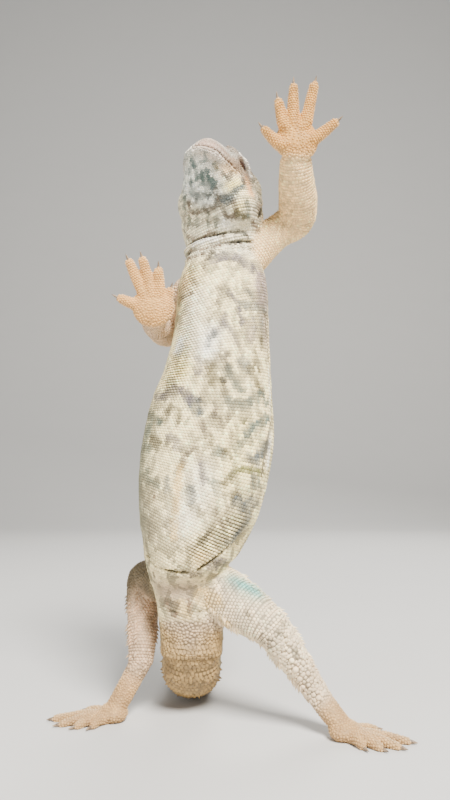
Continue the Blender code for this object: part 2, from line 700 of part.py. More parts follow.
def claw(start, way, droop):
    """A short curved cone that goes on from a digit's tip."""
    side = way.cross(droop).normalized()
    rings = []
    for share, size in ((-0.35, 0.85), (0.2, 0.75), (0.65, 0.48), (1.0, 0.12)):
        centre = start + way * CLAW_LENGTH * share + droop * CLAW_LENGTH * 0.28 * max(share, 0) ** 2
        rings.append(oval(centre, side, way.cross(side), size * MM, size * MM, size * MM, 6))
    return loft("claw", rings)


def add_claws(node, lines, droop):
    claws = joined("claws", [claw(tip, (tip - knuckle).normalized(), droop) for knuckle, tip in lines])
    return largest_only(boolean(node, claws, "UNION", True))


def pyramid(point, out, lean, height, half):
    """A keeled scale: a low four-sided spine that leans along the lie of the scales."""
    side = out.cross(lean).normalized()
    bm = bmesh.new()
    root = point - out * height * 0.8
    corners = [root + side * half, root + lean * half * 1.3, root - side * half, root - lean * half * 1.3]
    base = [bm.verts.new(c) for c in corners]
    rim = [bm.verts.new(c + out * height * 0.9) for c in corners]
    tip = bm.verts.new(point + out * height + lean * height * 0.6)
    bm.faces.new(base[::-1])
    for k in range(4):
        n = (k + 1) % 4
        bm.faces.new((base[k], base[n], rim[n], rim[k]))
        bm.faces.new((rim[k], rim[n], tip))
    return new_object("tubercle", bm)


def add_tubercles(node, places, draw):
    """Rows of pointed scales down a shin or thigh, set on its surface."""
    tree = BVHTree.FromPolygons([v.co for v in node.data.vertices], [p.vertices[:] for p in node.data.polygons])
    start, end = Vector(places["start"]) * MM, Vector(places["end"]) * MM
    height, count = places["height"] * MM, places["count"]
    way = (end - start).normalized()
    made = []
    for outward in places["rows"]:
        out = Vector(outward)
        out = (out - way * out.dot(way)).normalized()
        for k in range(count):
            spot = start.lerp(end, (k + 0.5) / count)
            hit, normal = tree.ray_cast(spot + out * 20 * MM, -out)[:2]
            if hit is not None:
                size = height * draw.uniform(0.85, 1.15)
                made.append(pyramid(hit, normal, way, size, size * 0.95))
    return largest_only(boolean(node, joined("tubercles", made), "UNION", True))


def tail_frame():
    """Even stations down the tail with their axes and half sizes."""
    rows = spline(TAIL, 12)
    centres = [Vector(row[:3]) * MM for row in rows]
    lengths = [0.0]
    for a, b in zip(centres, centres[1:]):
        lengths.append(lengths[-1] + (b - a).length)
    return rows, centres, tangents(centres), lengths


def tail_station(frame, distance):
    rows, centres, ways, lengths = frame
    k = max(i for i, reach in enumerate(lengths) if reach <= distance + 1e-9)
    k = min(k, len(rows) - 2)
    t = (distance - lengths[k]) / (lengths[k + 1] - lengths[k])
    centre = centres[k].lerp(centres[k + 1], t)
    way = ways[k].lerp(ways[k + 1], t).normalized()
    width, depth = (rows[k][n] + (rows[k + 1][n] - rows[k][n]) * t for n in (3, 4))
    side = Vector((1, 0, 0))
    side = (side - way * side.dot(way)).normalized()
    return centre, way, side, side.cross(way), width * MM, depth * MM


def whorl_starts(total):
    """Where each whorl starts: they shorten towards the tip."""
    lengths = [1.0 - 0.5 * k / TAIL_WHORLS for k in range(TAIL_WHORLS)]
    scale = total / sum(lengths)
    starts = [0.0]
    for length in lengths:
        starts.append(starts[-1] + length * scale)
    return starts


def tail_ring(frame, distance, swell, spine, lean):
    """A ring of points round the tail. Every second point is a spine, long above and at the sides."""
    centre, way, side, back, width, depth = tail_station(frame, distance)
    ring = []
    count = TAIL_SPINES * 2
    for k in range(count):
        angle = 2 * math.pi * (k + 0.5) / count
        c, s = math.cos(angle), math.sin(angle)
        grow = spine * (0.08 + 0.92 * min(1.0, max(0.0, 0.62 + 1.5 * s))) if k % 2 else 0.0
        point = centre + side * c * (width * swell + grow) + back * s * (depth * swell + grow)
        ring.append(point + way * lean * grow)
    return ring


def tail_nodes():
    """The spiny tail: each whorl is a collar that swells backwards and ends in a ring of spines."""
    frame = tail_frame()
    starts = whorl_starts(frame[3][-1] - 1.5 * MM)
    made = []
    for name, first, last in TAIL_NODES:
        rings = [tail_ring(frame, starts[first] + (GAP if first else GAP / 2), 0.93 if first else 0.985, 0.0, 0.0)]
        for k in range(first, last):
            pitch = starts[k + 1] - starts[k]
            scale = 0.55 + 0.45 * pitch / (starts[1] - starts[0])
            spine = SPINE_LENGTH * scale * min(1.0, 0.35 + 0.3 * k)
            rings.append(tail_ring(frame, starts[k] + pitch * 0.8, 1.02, spine, 1.1))
            if k < last - 1:
                rings.append(tail_ring(frame, starts[k + 1], 0.93, 0.0, 0.0))
        end = frame[3][-1] if last == TAIL_WHORLS else starts[last]
        rings.append(tail_ring(frame, end - (0 if last == TAIL_WHORLS else GAP / 4), 0.93, 0.0, 0.0))
        made.append(boolean(loft(name, rings), floor_cutter(), "DIFFERENCE"))
    return made


def paint(obj, finish):
    obj.data.materials.clear()
    obj.data.materials.append(finish)
    obj.data.polygons.foreach_set("material_index", [0] * len(obj.data.polygons))
    obj.data.shade_smooth()
    obj.data.set_sharp_from_angle(angle=math.radians(50))
    obj.data.transform(Matrix.Translation(-ORIGIN))


def build():
    clear_scene()
    skin = material("skin", SKIN, 0.7)
    tail_skin = material("tail_skin", TAIL_SKIN, 0.75)
    hand_skin = material("hand_skin", HAND_SKIN, 0.65)
    eye_gloss = material("eye", EYE, 0.12)
    nodes = flesh_nodes()
    nodes["head"], eyes = finish_head(nodes["head"])
    back = Vector((0, 1, 0))
    for name, hand in (("hand_left", HAND_LEFT), ("hand_right", HAND_RIGHT)):
        lines = [(Vector(base) * MM, Vector(tip) * MM) for base, tip in hand["digits"]]
        nodes[name] = add_claws(nodes[name], lines, -back)
    for name, foot in (("foot_left", FOOT_LEFT), ("foot_right", FOOT_RIGHT)):
        lines = []
        for base, knuckle, tip in toe_lines(foot):
            level = Vector((tip.x, tip.y, tip.z))
            flat = Vector((tip.x - knuckle.x, tip.y - knuckle.y, 0))
            lines.append((level - flat, level))
        nodes[name] = add_claws(nodes[name], lines, Vector((0, 0, -0.3)))
    draw = random.Random(SEED)
    for name, places in TUBERCLES.items():
        nodes[name] = add_tubercles(nodes[name], places, draw)
    tails = tail_nodes()
    for name, node in nodes.items():
        paint(node, hand_skin if name.startswith(("hand", "foot")) else skin)
    for node in tails:
        paint(node, tail_skin)
    for node in eyes:
        paint(node, eye_gloss)


build()
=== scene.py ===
# Looks of a standing uromastyx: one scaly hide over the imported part, with claws, eyes and a studio.
import math
import random

import bmesh
import bpy
import numpy as np
from mathutils import Matrix, Vector, noise
from mathutils.bvhtree import BVHTree


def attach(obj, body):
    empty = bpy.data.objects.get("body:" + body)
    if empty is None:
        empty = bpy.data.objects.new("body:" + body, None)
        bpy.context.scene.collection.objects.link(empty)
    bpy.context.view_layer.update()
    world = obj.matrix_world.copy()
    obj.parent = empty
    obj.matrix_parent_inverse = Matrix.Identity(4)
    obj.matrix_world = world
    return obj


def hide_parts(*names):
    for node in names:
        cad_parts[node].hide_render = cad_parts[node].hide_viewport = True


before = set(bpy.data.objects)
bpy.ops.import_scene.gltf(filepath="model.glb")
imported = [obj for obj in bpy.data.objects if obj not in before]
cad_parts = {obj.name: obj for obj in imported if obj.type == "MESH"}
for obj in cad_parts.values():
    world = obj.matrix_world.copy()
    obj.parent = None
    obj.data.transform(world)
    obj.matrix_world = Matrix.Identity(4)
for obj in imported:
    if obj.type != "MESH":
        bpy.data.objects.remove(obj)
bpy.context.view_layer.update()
mm = 0.001
origin = Vector((7.6, 62.0, 0.0)) * mm  # forms are set out in the photo's own millimetres, then moved by this
dice = random.Random(11)

headPose = {"elevation": math.radians(36), "turn": math.radians(-18.2), "roll": math.radians(-12.6),
            "tip": Vector((-0.8, -22.3, 224.5)) * mm}
eyeForm = {"centre": Vector((-14.4, 9.2, 5.2)) * mm, "radius": 3.6 * mm, "lid": 4.75 * mm,
           "facing": Vector((0.2, 0.97, -0.02)), "slitLength": 3.5, "slitHeight": 2.2,
           "tilt": math.radians(-8)}
mouthStations = ((0.0, -2.2), (-5.0, -1.8), (-10.0, -0.5), (-14.0, 0.9), (-18.8, -0.4))
lipRadius = 1.25 * mm

# trunk from the tail's root to the nape:
# centre, half width, belly depth, back depth, share of the head's turn
trunkRows = (
    (-5.0, 3.0, 26.0, 11.8, 8.2, 8.6, 0.0), (-5.0, 2.3, 36.0, 12.5, 8.5, 9.0, 0.0),
    (-5.3, 2.0, 44.0, 13.3, 9.2, 9.6, 0.0), (-5.6, 2.0, 49.5, 14.0, 9.8, 10.5, 0.0),
    (-6.2, 1.9, 53.8, 14.4, 10.8, 11.4, 0.0), (-6.8, 1.7, 58.0, 15.4, 15.4, 12.4, 0.0),
    (-6.6, 1.4, 64.0, 17.6, 18.0, 13.6, 0.0), (-4.8, 1.0, 72.0, 21.2, 19.2, 15.0, 0.0),
    (-2.4, 1.0, 84.0, 24.3, 19.8, 16.0, 0.0), (-0.4, 1.0, 97.0, 25.9, 19.6, 16.5, 0.0),
    (1.6, 1.0, 110.0, 26.1, 19.0, 16.5, 0.0), (3.1, 1.0, 122.0, 24.8, 18.0, 16.0, 0.0),
    (4.8, 1.2, 133.0, 22.4, 17.0, 15.5, 0.0), (6.1, 1.5, 145.0, 20.4, 16.0, 15.0, 0.0),
    (6.8, 2.0, 157.0, 19.3, 15.5, 14.5, 0.0), (7.1, 2.5, 168.0, 18.8, 15.0, 14.0, 0.0),
    (7.4, 3.2, 177.0, 17.8, 13.8, 13.0, 0.05), (7.5, 4.3, 184.5, 15.6, 12.0, 11.5, 0.2),
    (7.4, 5.8, 191.0, 15.6, 11.8, 10.5, 0.45), (7.2, 5.4, 197.5, 17.0, 12.2, 10.5, 0.7),
    (6.9, 3.2, 203.5, 17.9, 12.4, 10.5, 0.9), (6.4, -1.0, 208.5, 16.6, 10.4, 9.0, 1.0),
)
trunkPower = 2.25

# head from the nape to the snout, in its own frame: forward, half width, crown, chin
headRows = (
    (-40.0, 14.8, 9.0, 12.2), (-35.0, 17.2, 10.8, 12.8), (-30.0, 18.0, 12.0, 12.2), (-25.0, 17.2, 12.4, 11.0),
    (-20.0, 15.2, 12.2, 9.6), (-15.0, 12.9, 11.2, 8.2), (-10.0, 10.4, 9.7, 6.9), (-6.0, 8.3, 7.9, 5.7),
    (-3.0, 6.3, 6.2, 4.5), (-1.0, 4.4, 4.5, 3.2), (0.0, 2.2, 3.0, 1.8),
)
# swellings on each side of the head: place, half sizes, turn in degrees
headSwellings = {
    "jowl": ((-27.5, 9.7, -2.5), (9.5, 8.2, 8.4), 0), "temple": ((-24.8, 9.9, 5.4), (8.4, 7.0, 5.8), 0),
    "brow": ((-13.8, 9.0, 8.0), (8.6, 3.0, 2.5), -24), "orbit": ((-14.6, 8.2, 4.8), (6.4, 5.2, 5.0), 0),
    "nostrilSwelling": ((-3.8, 3.6, 2.9), (2.8, 2.0, 1.7), 0)}
# folds round the neck: height, rise, radius, ends in degrees
neckFolds = ((191.7, 0.13, 1.7, -30, 210), (187.3, 0.17, 1.4, -20, 215))

limbs = {
    "armLeft": (((14.0, 4.0, 183.0), 9.0), ((21.5, 4.0, 190.4), 8.0), ((30.0, 4.6, 198.4), 7.1),
                ((38.0, 3.6, 203.4), 7.7), ((38.4, -4.5, 208.4), 7.8), ((36.8, -13.0, 214.5), 6.8),
                ((36.2, -18.0, 219.5), 6.1)),
    "armRight": (((1.0, 4.0, 173.5), 9.0), ((-7.5, 8.0, 171.5), 7.8), ((-12.2, 14.2, 164.5), 6.6),
                 ((-16.6, 19.0, 157.5), 5.8), ((-19.6, 10.5, 156.8), 5.3), ((-21.2, 1.0, 157.2), 4.8),
                 ((-21.0, -5.0, 158.6), 4.6)),
    "legLeft": (((-3.0, 4.0, 52.0), 10.5), ((6.0, 1.0, 49.0), 10.6), ((15.0, -4.5, 44.5), 9.6),
                ((24.8, -10.0, 38.5), 7.2), ((31.0, -9.8, 30.5), 6.3), ((38.0, -8.8, 20.5), 4.8),
                ((42.5, -8.5, 14.0), 4.4)),
    "legRight": (((-8.0, 4.0, 51.0), 9.6), ((-14.5, 9.5, 51.5), 9.2), ((-21.0, 16.8, 51.6), 8.2),
                 ((-26.5, 23.0, 51.0), 7.0), ((-26.4, 18.8, 42.0), 6.6), ((-25.6, 12.5, 30.0), 5.7),
                 ((-25.8, 9.0, 20.5), 4.8)),
}
hands = {
    "handLeft": {"palm": (36.2, -22.3, 225.0), "digits": (
        ((29.6, -23.6, 222.6), (23.2, -25.8, 228.0)), ((31.2, -24.0, 230.5), (28.8, -26.0, 239.4)),
        ((34.8, -24.2, 232.5), (34.8, -26.0, 245.6)), ((39.6, -24.2, 231.8), (43.0, -26.0, 246.2)),
        ((42.4, -23.6, 225.0), (51.0, -25.8, 230.8)))},
    "handRight": {"palm": (-20.8, -8.2, 162.3), "digits": (
        ((-16.0, -8.6, 163.0), (-14.0, -8.4, 169.0)), ((-18.4, -9.6, 167.5), (-18.4, -11.6, 176.6)),
        ((-21.4, -9.8, 169.0), (-24.8, -12.0, 180.6)), ((-24.6, -9.4, 167.8), (-30.2, -11.6, 179.8)),
        ((-26.4, -8.6, 162.6), (-34.0, -10.0, 165.4)))},
}
palmHalf = (8.3, 3.5, 8.4)
feet = {
    "footLeft": {"ball": (51.5, -13.5, 2.9), "ankle": (42.5, -8.5, 14.0), "heading": 28.0, "side": 1},
    "footRight": {"ball": (-35.6, 4.5, 2.9), "ankle": (-25.8, 9.0, 20.5), "heading": 162.0, "side": -1},
}
ballHalf = (5.6, 6.4, 3.4)
toes = ((8.0, 38.0), (12.0, 19.0), (16.5, 3.0), (19.0, -14.0), (10.5, -52.0))  # length, spread in degrees
# tail from the vent to its tip: centre, half width, half depth
tailRows = (
    (-5.0, 2.6, 33.0, 12.3, 8.7), (-5.2, 5.4, 25.2, 11.9, 8.6), (-5.4, 11.0, 18.0, 11.5, 8.4),
    (-5.8, 20.0, 12.2, 11.0, 8.0), (-6.2, 33.0, 8.2, 10.4, 7.6), (-6.2, 50.0, 7.0, 9.5, 7.0),
    (-5.2, 70.0, 6.2, 8.5, 6.3), (-4.0, 92.0, 5.2, 7.1, 5.4), (-4.4, 114.0, 4.2, 5.6, 4.4),
    (-6.8, 134.0, 3.1, 4.0, 3.3), (-10.0, 151.0, 1.7, 1.9, 1.8),
)
tailForm = {"whorls": 24, "spines": 12}
collar = ((0.0, 0.935), (0.08, 0.95), (0.45, 0.985), (0.78, 1.02), (0.93, 1.0))  # share of a whorl, swelling
digitRadii = (2.8, 2.4, 2.15, 1.65)
toeRadii = (2.5, 2.2, 1.75, 1.3)
soleRadii = (4.4, 4.3, 4.2)
lipForm = {"inwards": 0.72, "atCorners": 0.7, "thinner": 0.35}


def smooth(edge0, edge1, value):
    share = np.clip((value - edge0) / (edge1 - edge0), 0.0, 1.0)
    return share * share * (3 - 2 * share)


def newObject(name, bm):
    bmesh.ops.recalc_face_normals(bm, faces=bm.faces)
    if bm.calc_volume(signed=True) < 0:
        bmesh.ops.reverse_faces(bm, faces=bm.faces)
    mesh = bpy.data.meshes.new(name)
    bm.to_mesh(mesh)
    bm.free()
    obj = bpy.data.objects.new(name, mesh)
    bpy.context.scene.collection.objects.link(obj)
    return obj


def headAxes():
    turn, lift, roll = headPose["turn"], headPose["elevation"], headPose["roll"]
    forward = Vector((math.sin(turn) * math.cos(lift), -math.cos(turn) * math.cos(lift), math.sin(lift)))
    level = Vector((0, 0, 1)).cross(forward).normalized()
    upright = forward.cross(level)
    left = level * math.cos(roll) + upright * math.sin(roll)
    return forward, left, forward.cross(left)


headTurn = Matrix(headAxes()).transposed().to_4x4()
headMatrix = Matrix.Translation(headPose["tip"]) @ headTurn


def spline(rows, steps):  # Catmull-Rom through every row
    made = []
    last = len(rows) - 1
    for i in range(last):
        before, start = rows[max(i - 1, 0)], rows[i]
        end, after = rows[i + 1], rows[min(i + 2, last)]
        for k in range(steps):
            t = k / steps
            made.append(tuple(
                0.5 * (2 * b + (c - a) * t + (2 * a - 5 * b + 4 * c - d) * t * t
                       + (3 * b - a - 3 * c + d) * t ** 3)
                for a, b, c, d in zip(before, start, end, after)))
    made.append(tuple(rows[last]))
    return made


def tangents(centres):
    last = len(centres) - 1
    return [(centres[min(i + 1, last)] - centres[max(i - 1, 0)]).normalized() for i in range(last + 1)]


def oval(centre, side, front, halfWidth, frontDepth, backDepth, count, power=2.0):
    ring = []
    for k in range(count):
        c, s = math.cos(2 * math.pi * k / count), math.sin(2 * math.pi * k / count)
        across = halfWidth * math.copysign(abs(c) ** (2 / power), c)
        depth = (frontDepth if s > 0 else backDepth) * math.copysign(abs(s) ** (2 / power), s)
        ring.append(centre + side * across + front * depth)
    return ring


def loft(name, rings):
    bm = bmesh.new()
    loops = [[bm.verts.new(point) for point in ring] for ring in rings]
    count = len(rings[0])
    for lower, upper in zip(loops, loops[1:]):
        for k in range(count):
            n = (k + 1) % count
            bm.faces.new((lower[k], lower[n], upper[n], upper[k]))
    for ring in (loops[0], loops[-1]):
        middle = bm.verts.new(sum((v.co for v in ring), Vector()) / count)
        for k in range(count):
            bm.faces.new((ring[k], ring[(k + 1) % count], middle))
    return newObject(name, bm)


def trunkSections(steps=3):
    rows = spline(trunkRows, steps)
    centres = [Vector(row[:3]) * mm for row in rows]
    headLeft = headAxes()[1]
    made = []
    for row, centre, along in zip(rows, centres, tangents(centres)):
        side = Vector((1, 0, 0)).lerp(headLeft, row[6])
        side = (side - along * side.dot(along)).normalized()
        made.append((centre, side, side.cross(along), row[3] * mm, row[4] * mm, row[5] * mm))
    return made


def tube(name, points, radii, count, flat=1.0, across=Vector((0, 0, 1))):
    rows = spline([(*p, r) for p, r in zip(points, radii)], 4)
    centres = [Vector(row[:3]) for row in rows]
    ways = tangents(centres)
    centres = [centres[0] - ways[0] * radii[0] * 0.5, *centres, centres[-1] + ways[-1] * radii[-1] * 0.6]
    ways = [ways[0], *ways, ways[-1]]
    sizes = [radii[0] * 0.6, *(row[3] for row in rows), radii[-1] * 0.55]
    rings = []
    for centre, way, size in zip(centres, ways, sizes):
        thin = (across - way * across.dot(way)).normalized()
        rings.append(oval(centre, way.cross(thin), thin, size, size * flat, size * flat, count))
    return loft(name, rings)


def ellipsoid(name, centre, radii, turn=None):
    bm = bmesh.new()
    bmesh.ops.create_icosphere(bm, subdivisions=4, radius=1.0)
    matrix = Matrix.Translation(centre) @ (turn or Matrix.Identity(4)) @ Matrix.Diagonal((*radii, 1.0))
    bmesh.ops.transform(bm, matrix=matrix, verts=bm.verts)
    return newObject(name, bm)


def headRow(forward):
    for a, b in zip(headRows, headRows[1:]):
        if a[0] * mm <= forward <= b[0] * mm:
            t = (forward / mm - a[0]) / (b[0] - a[0])
            return [(p + (q - p) * t) * mm for p, q in zip(a[1:], b[1:])]
    return [size * mm for size in headRows[-1][1:]]


def mouthHeight(forward):
    for (front, low), (back, high) in zip(mouthStations, mouthStations[1:]):
        if forward >= back * mm:
            share = (forward / mm - front) / (back - front)
            return (low + (high - low) * share * share * (3 - 2 * share)) * mm
    return mouthStations[-1][1] * mm


def mouthLine(count=9):
    stations = [mouthStations[-1][0] * mm * (1 - k / count) for k in range(count)]
    halves = []
    for side in (-1, 1):
        halves.append([Vector((x, side * (headRow(x)[0] + 0.2 * mm), mouthHeight(x))) for x in stations])
    points = halves[0] + [Vector((-0.1 * mm, 0, mouthHeight(0)))] + halves[1][::-1]
    return points, [Vector((way.y, -way.x, 0)).normalized() for way in tangents(points)]


def headPieces():
    rings = []
    for forward, width, crown, chin in spline(headRows, 4):
        centre = Vector((forward, 0, 0)) * mm
        level, upright = Vector((0, 1, 0)), Vector((0, 0, 1))
        rings.append(oval(centre, level, upright, width * mm, crown * mm, chin * mm, 64, 2.3))
    pieces = [loft("skull", rings)]
    points, outward = mouthLine()
    middle = (len(points) - 1) / 2
    shares = [(abs(k - middle) / middle) ** 3 for k in range(len(points))]
    for rise in (1.0, -1.0):
        lip = [p - way * lipRadius * (lipForm["inwards"] + lipForm["atCorners"] * share)
               + Vector((0, 0, rise * lipRadius)) for p, way, share in zip(points, outward, shares)]
        radii = [lipRadius * (1 - lipForm["thinner"] * share) for share in shares]
        pieces.append(tube("lip", lip, radii, 12))
    for side in (-1, 1):
        for name, ((x, y, z), halves, turn) in headSwellings.items():
            turned = Matrix.Rotation(math.radians(turn) * side, 4, "Z")
            pieces.append(ellipsoid(name, Vector((x, y * side, z)) * mm, Vector(halves) * mm, turned))
        eye = eyeForm["centre"]
        pieces.append(ellipsoid("lids", Vector((eye.x, eye.y * side, eye.z)), [eyeForm["lid"]] * 3))
    for piece in pieces:
        piece.data.transform(headMatrix)
    return pieces


def foldLine(height, rise, start, end, count=17, sink=0.5):
    # points round the neck at a height, over the trunk's own section
    centre, side, front, width, depth, back = min(trunkSections(), key=lambda s: abs(s[0].z - height * mm))
    points = []
    for k in range(count):
        angle = math.radians(start + (end - start) * k / (count - 1))
        c, s = (math.copysign(abs(v) ** (2 / trunkPower), v) for v in (math.cos(angle), math.sin(angle)))
        reach = depth if s > 0 else back
        point = centre + side * c * (width - sink * mm) + front * s * (reach - sink * 0.8 * mm)
        point.z = height * mm + rise * (point.x - centre.x)
        points.append(point)
    return points


def handPieces(hand):
    palm = Vector(hand["palm"]) * mm
    pieces = [ellipsoid("palm", palm, Vector(palmHalf) * mm)]
    for base, tip in hand["digits"]:
        start, end = Vector(base) * mm, Vector(tip) * mm
        knuckle = start.lerp(end, 0.5) + Vector((0, 0.5 * mm, 0))
        pieces.append(tube("digit", [palm.lerp(start, 0.55), start, knuckle, end],
                           [radius * mm for radius in digitRadii], 20, 0.9, Vector((0, 1, 0))))
    return pieces


def toeLines(foot):
    ball = Vector(foot["ball"]) * mm
    made = []
    for length, spread in toes:
        heading = math.radians(foot["heading"] + spread * foot["side"])
        way = Vector((math.cos(heading), -math.sin(heading), 0))
        base, knuckle = ball + way * 3.6 * mm, ball + way * (4.4 + length * 0.45) * mm
        tip = ball + way * (3.6 + length) * mm
        base.z, knuckle.z, tip.z = 1.9 * mm, 2.1 * mm, 0.95 * mm
        made.append((base, knuckle, tip))
    return made


def footPieces(foot):
    ball, heel = Vector(foot["ball"]) * mm, Vector(foot["ankle"]) * mm
    way = (ball - heel).normalized()
    turn = Matrix.Rotation(math.atan2(way.y, way.x), 4, "Z")
    sole = [heel, heel.lerp(ball, 0.5), ball]
    pieces = [tube("sole", sole, [radius * mm for radius in soleRadii], 24, 0.9),
              ellipsoid("ball", ball, Vector(ballHalf) * mm, turn)]
    for base, knuckle, tip in toeLines(foot):
        pieces.append(tube("toe", [ball.lerp(base, 0.3), base, knuckle, tip],
                           [radius * mm for radius in toeRadii], 20))
    return pieces


# tail: whorls that shorten to the tip, each a collar that swells backwards
tailLine = spline(tailRows, 12)
tailCentres = [Vector(row[:3]) * mm for row in tailLine]
tailWays = tangents(tailCentres)
tailReach = [0.0]
for before, after in zip(tailCentres, tailCentres[1:]):
    tailReach.append(tailReach[-1] + (after - before).length)


def tailStation(distance):
    k = min(int(np.searchsorted(tailReach, distance, side="right")) - 1, len(tailLine) - 2)
    k = max(k, 0)
    t = (distance - tailReach[k]) / (tailReach[k + 1] - tailReach[k])
    centre = tailCentres[k].lerp(tailCentres[k + 1], t)
    way = tailWays[k].lerp(tailWays[k + 1], t).normalized()
    width, depth = (tailLine[k][n] + (tailLine[k + 1][n] - tailLine[k][n]) * t for n in (3, 4))
    side = Vector((1, 0, 0))
    side = (side - way * side.dot(way)).normalized()
    return centre, way, side, side.cross(way), width * mm, depth * mm


def whorlStarts():
    lengths = [1.0 - 0.5 * k / tailForm["whorls"] for k in range(tailForm["whorls"])]
    scale = (tailReach[-1] - 1.5 * mm) / sum(lengths)
    starts = [0.0]
    for length in lengths:
        starts.append(starts[-1] + length * scale)
    return starts


def tailBody():
    rings = []
    starts = whorlStarts()
    for k in range(tailForm["whorls"]):
        for share, swell in collar:
            station = starts[k] + (starts[k + 1] - starts[k]) * share
            centre, way, side, back, width, depth = tailStation(station)
            rings.append(oval(centre, side, back, width * swell, depth * swell, depth * swell, 48))
    centre, way, side, back, width, depth = tailStation(tailReach[-1])
    rings.append(oval(centre, side, back, width * 0.9, depth * 0.9, depth * 0.9, 48))
    return loft("tailBody", rings)


# hide: every form melted into one closed surface, then rounded where limbs leave the trunk
hideForm = {"voxel": 0.55 * mm, "rounding": 30, "evening": 3, "factor": 0.5, "reach": 11 * mm, "full": 1.6}


def applied(obj):
    mesh = bpy.data.meshes.new_from_object(obj.evaluated_get(bpy.context.evaluated_depsgraph_get()))
    old = obj.data
    obj.modifiers.clear()
    obj.data = mesh
    bpy.data.meshes.remove(old)
    return obj


def meltedHide():
    pieces = [loft("trunk", [oval(*section, count=72, power=trunkPower) for section in trunkSections(5)])]
    pieces += headPieces() + [tailBody()]
    for height, rise, radius, start, end in neckFolds:
        points = foldLine(height, rise, start, end)
        pieces.append(tube("fold", points, [radius * mm] * len(points), 14))
    for joints in limbs.values():
        points = [Vector(point) * mm for point, radius in joints]
        pieces.append(tube("limb", points, [radius * mm for point, radius in joints], 32, 0.94,
                           Vector((0.1, 1, 0.2))))
    for hand in hands.values():
        pieces += handPieces(hand)
    for foot in feet.values():
        pieces += footPieces(foot)
    bm = bmesh.new()
    for piece in pieces:
        bm.from_mesh(piece.data)
        bpy.data.objects.remove(piece, do_unlink=True)
    hide = newObject("hide", bm)
    melt = hide.modifiers.new("melt", "REMESH")
    melt.mode, melt.voxel_size = "VOXEL", hideForm["voxel"]
    applied(hide)
    places = placesOf(hide)
    roots = [np.array(limbs[name][k][0]) * mm for name in limbs for k in (1, 2)]
    nearest = np.min([np.linalg.norm(places - root, axis=1) for root in roots], axis=0)
    weights = np.clip(hideForm["full"] - nearest / hideForm["reach"], 0.0, 1.0)
    group = hide.vertex_groups.new(name="roots")
    for level in range(1, 11):
        chosen = np.nonzero(np.ceil(weights * 10) == level)[0]
        if len(chosen):
            group.add(chosen.tolist(), level / 10, "REPLACE")
    rounding = hide.modifiers.new("rounding", "SMOOTH")
    rounding.factor, rounding.iterations = hideForm["factor"], hideForm["rounding"]
    rounding.vertex_group = "roots"
    evening = hide.modifiers.new("evening", "SMOOTH")
    evening.factor, evening.iterations = hideForm["factor"], hideForm["evening"]
    return applied(hide)


def placesOf(obj):
    places = np.empty(len(obj.data.vertices) * 3)
    obj.data.vertices.foreach_get("co", places)
    return places.reshape(-1, 3)


def normalsOf(obj):
    normals = np.empty(len(obj.data.vertices) * 3)
    obj.data.vertex_normals.foreach_get("vector", normals)
    return normals.reshape(-1, 3)


def setPlaces(obj, places):
    obj.data.vertices.foreach_set("co", places.astype(np.float32).ravel())
    obj.data.update()


def toHead(places):
    inverse = np.array(headMatrix.inverted())
    return (places @ inverse[:3, :3].T + inverse[:3, 3]) / mm


def pathGap(places, path):  # distance to a polyline, and how far along it from 0 to 1
    path = np.array([tuple(p) for p in (path * 2 if len(path) == 1 else path)])
    lengths = np.linalg.norm(np.diff(path, axis=0), axis=1)
    reach = np.concatenate([[0.0], np.cumsum(lengths)])
    best = np.full(len(places), 1e9)
    share = np.zeros(len(places))
    for k, length in enumerate(lengths):
        way = (path[k + 1] - path[k]) / max(length, 1e-9)
        t = np.clip((places - path[k]) @ way, 0.0, length)
        gap = np.linalg.norm(places - path[k] - t[:, None] * way, axis=1)
        closer = gap < best
        best[closer] = gap[closer]
        share[closer] = (reach[k] + t[closer]) / max(reach[-1], 1e-9)
    return best, share


def groove(places, path, depth, width):
    gap = pathGap(places, path)[0]
    return -depth * mm * np.exp(-(gap / (width * mm)) ** 2)


def eyeFrame(side):
    out = Vector((eyeForm["facing"].x, eyeForm["facing"].y * side, eyeForm["facing"].z)).normalized()
    flat = (Vector((1, 0, 0)) - out * out.x).normalized()
    along = flat * math.cos(eyeForm["tilt"]) + Vector((0, 0, 1)) * math.sin(eyeForm["tilt"])
    along = (along - out * out.dot(along)).normalized()
    return along, out, along.cross(out)


def eyeCentre(side):
    centre = eyeForm["centre"]
    return headMatrix @ Vector((centre.x, centre.y * side, centre.z))


hide = meltedHide()
print("hide melted:", len(hide.data.vertices), "points")

# creases, openings and loose skin, pressed into the surface: depths, widths and places in millimetres
creaseForm = {
    "mouth": {"depth": 0.85, "width": 0.34}, "nostril": {"depth": 0.9, "width": 0.75, "at": (-2.9, 4.6, 3.2)},
    "neckAbove": {"depth": 1.8, "width": 0.75}, "neckBelow": {"depth": 1.5, "width": 0.7}}
foldForm = {
    "flank": {"depth": 2.0, "width": 1.15, "path": (
        (24.8, -4.2, 159.5), (25.4, -2.9, 151.0), (25.9, -2.2, 143.0), (26.6, -1.8, 134.0),
        (27.0, -2.2, 126.0),
        (26.7, -4.3, 118.6), (25.8, -7.1, 110.8), (24.1, -8.8, 101.7), (22.8, -8.9, 95.2))},
    "bellyEdge": {"depth": 2.3, "width": 0.6, "path": (
        (-1.8, -14.8, 60.2), (2.6, -15.0, 63.0), (6.4, -14.4, 65.6), (9.6, -12.9, 68.4))},
    "bellySide": {"depth": 3.0, "width": 0.4, "path": (
        (-21.6, -8.0, 64.5), (-18.4, -10.9, 61.0), (-12.4, -14.6, 59.4), (-6.1, -14.6, 58.8))},
    "vent": {"depth": 0.8, "width": 0.55, "path": (
        (-13.4, -4.6, 43.6), (-10.4, -7.4, 42.8), (-6.6, -8.2, 42.6), (-2.6, -7.6, 43.0), (0.8, -5.2, 43.8))}}
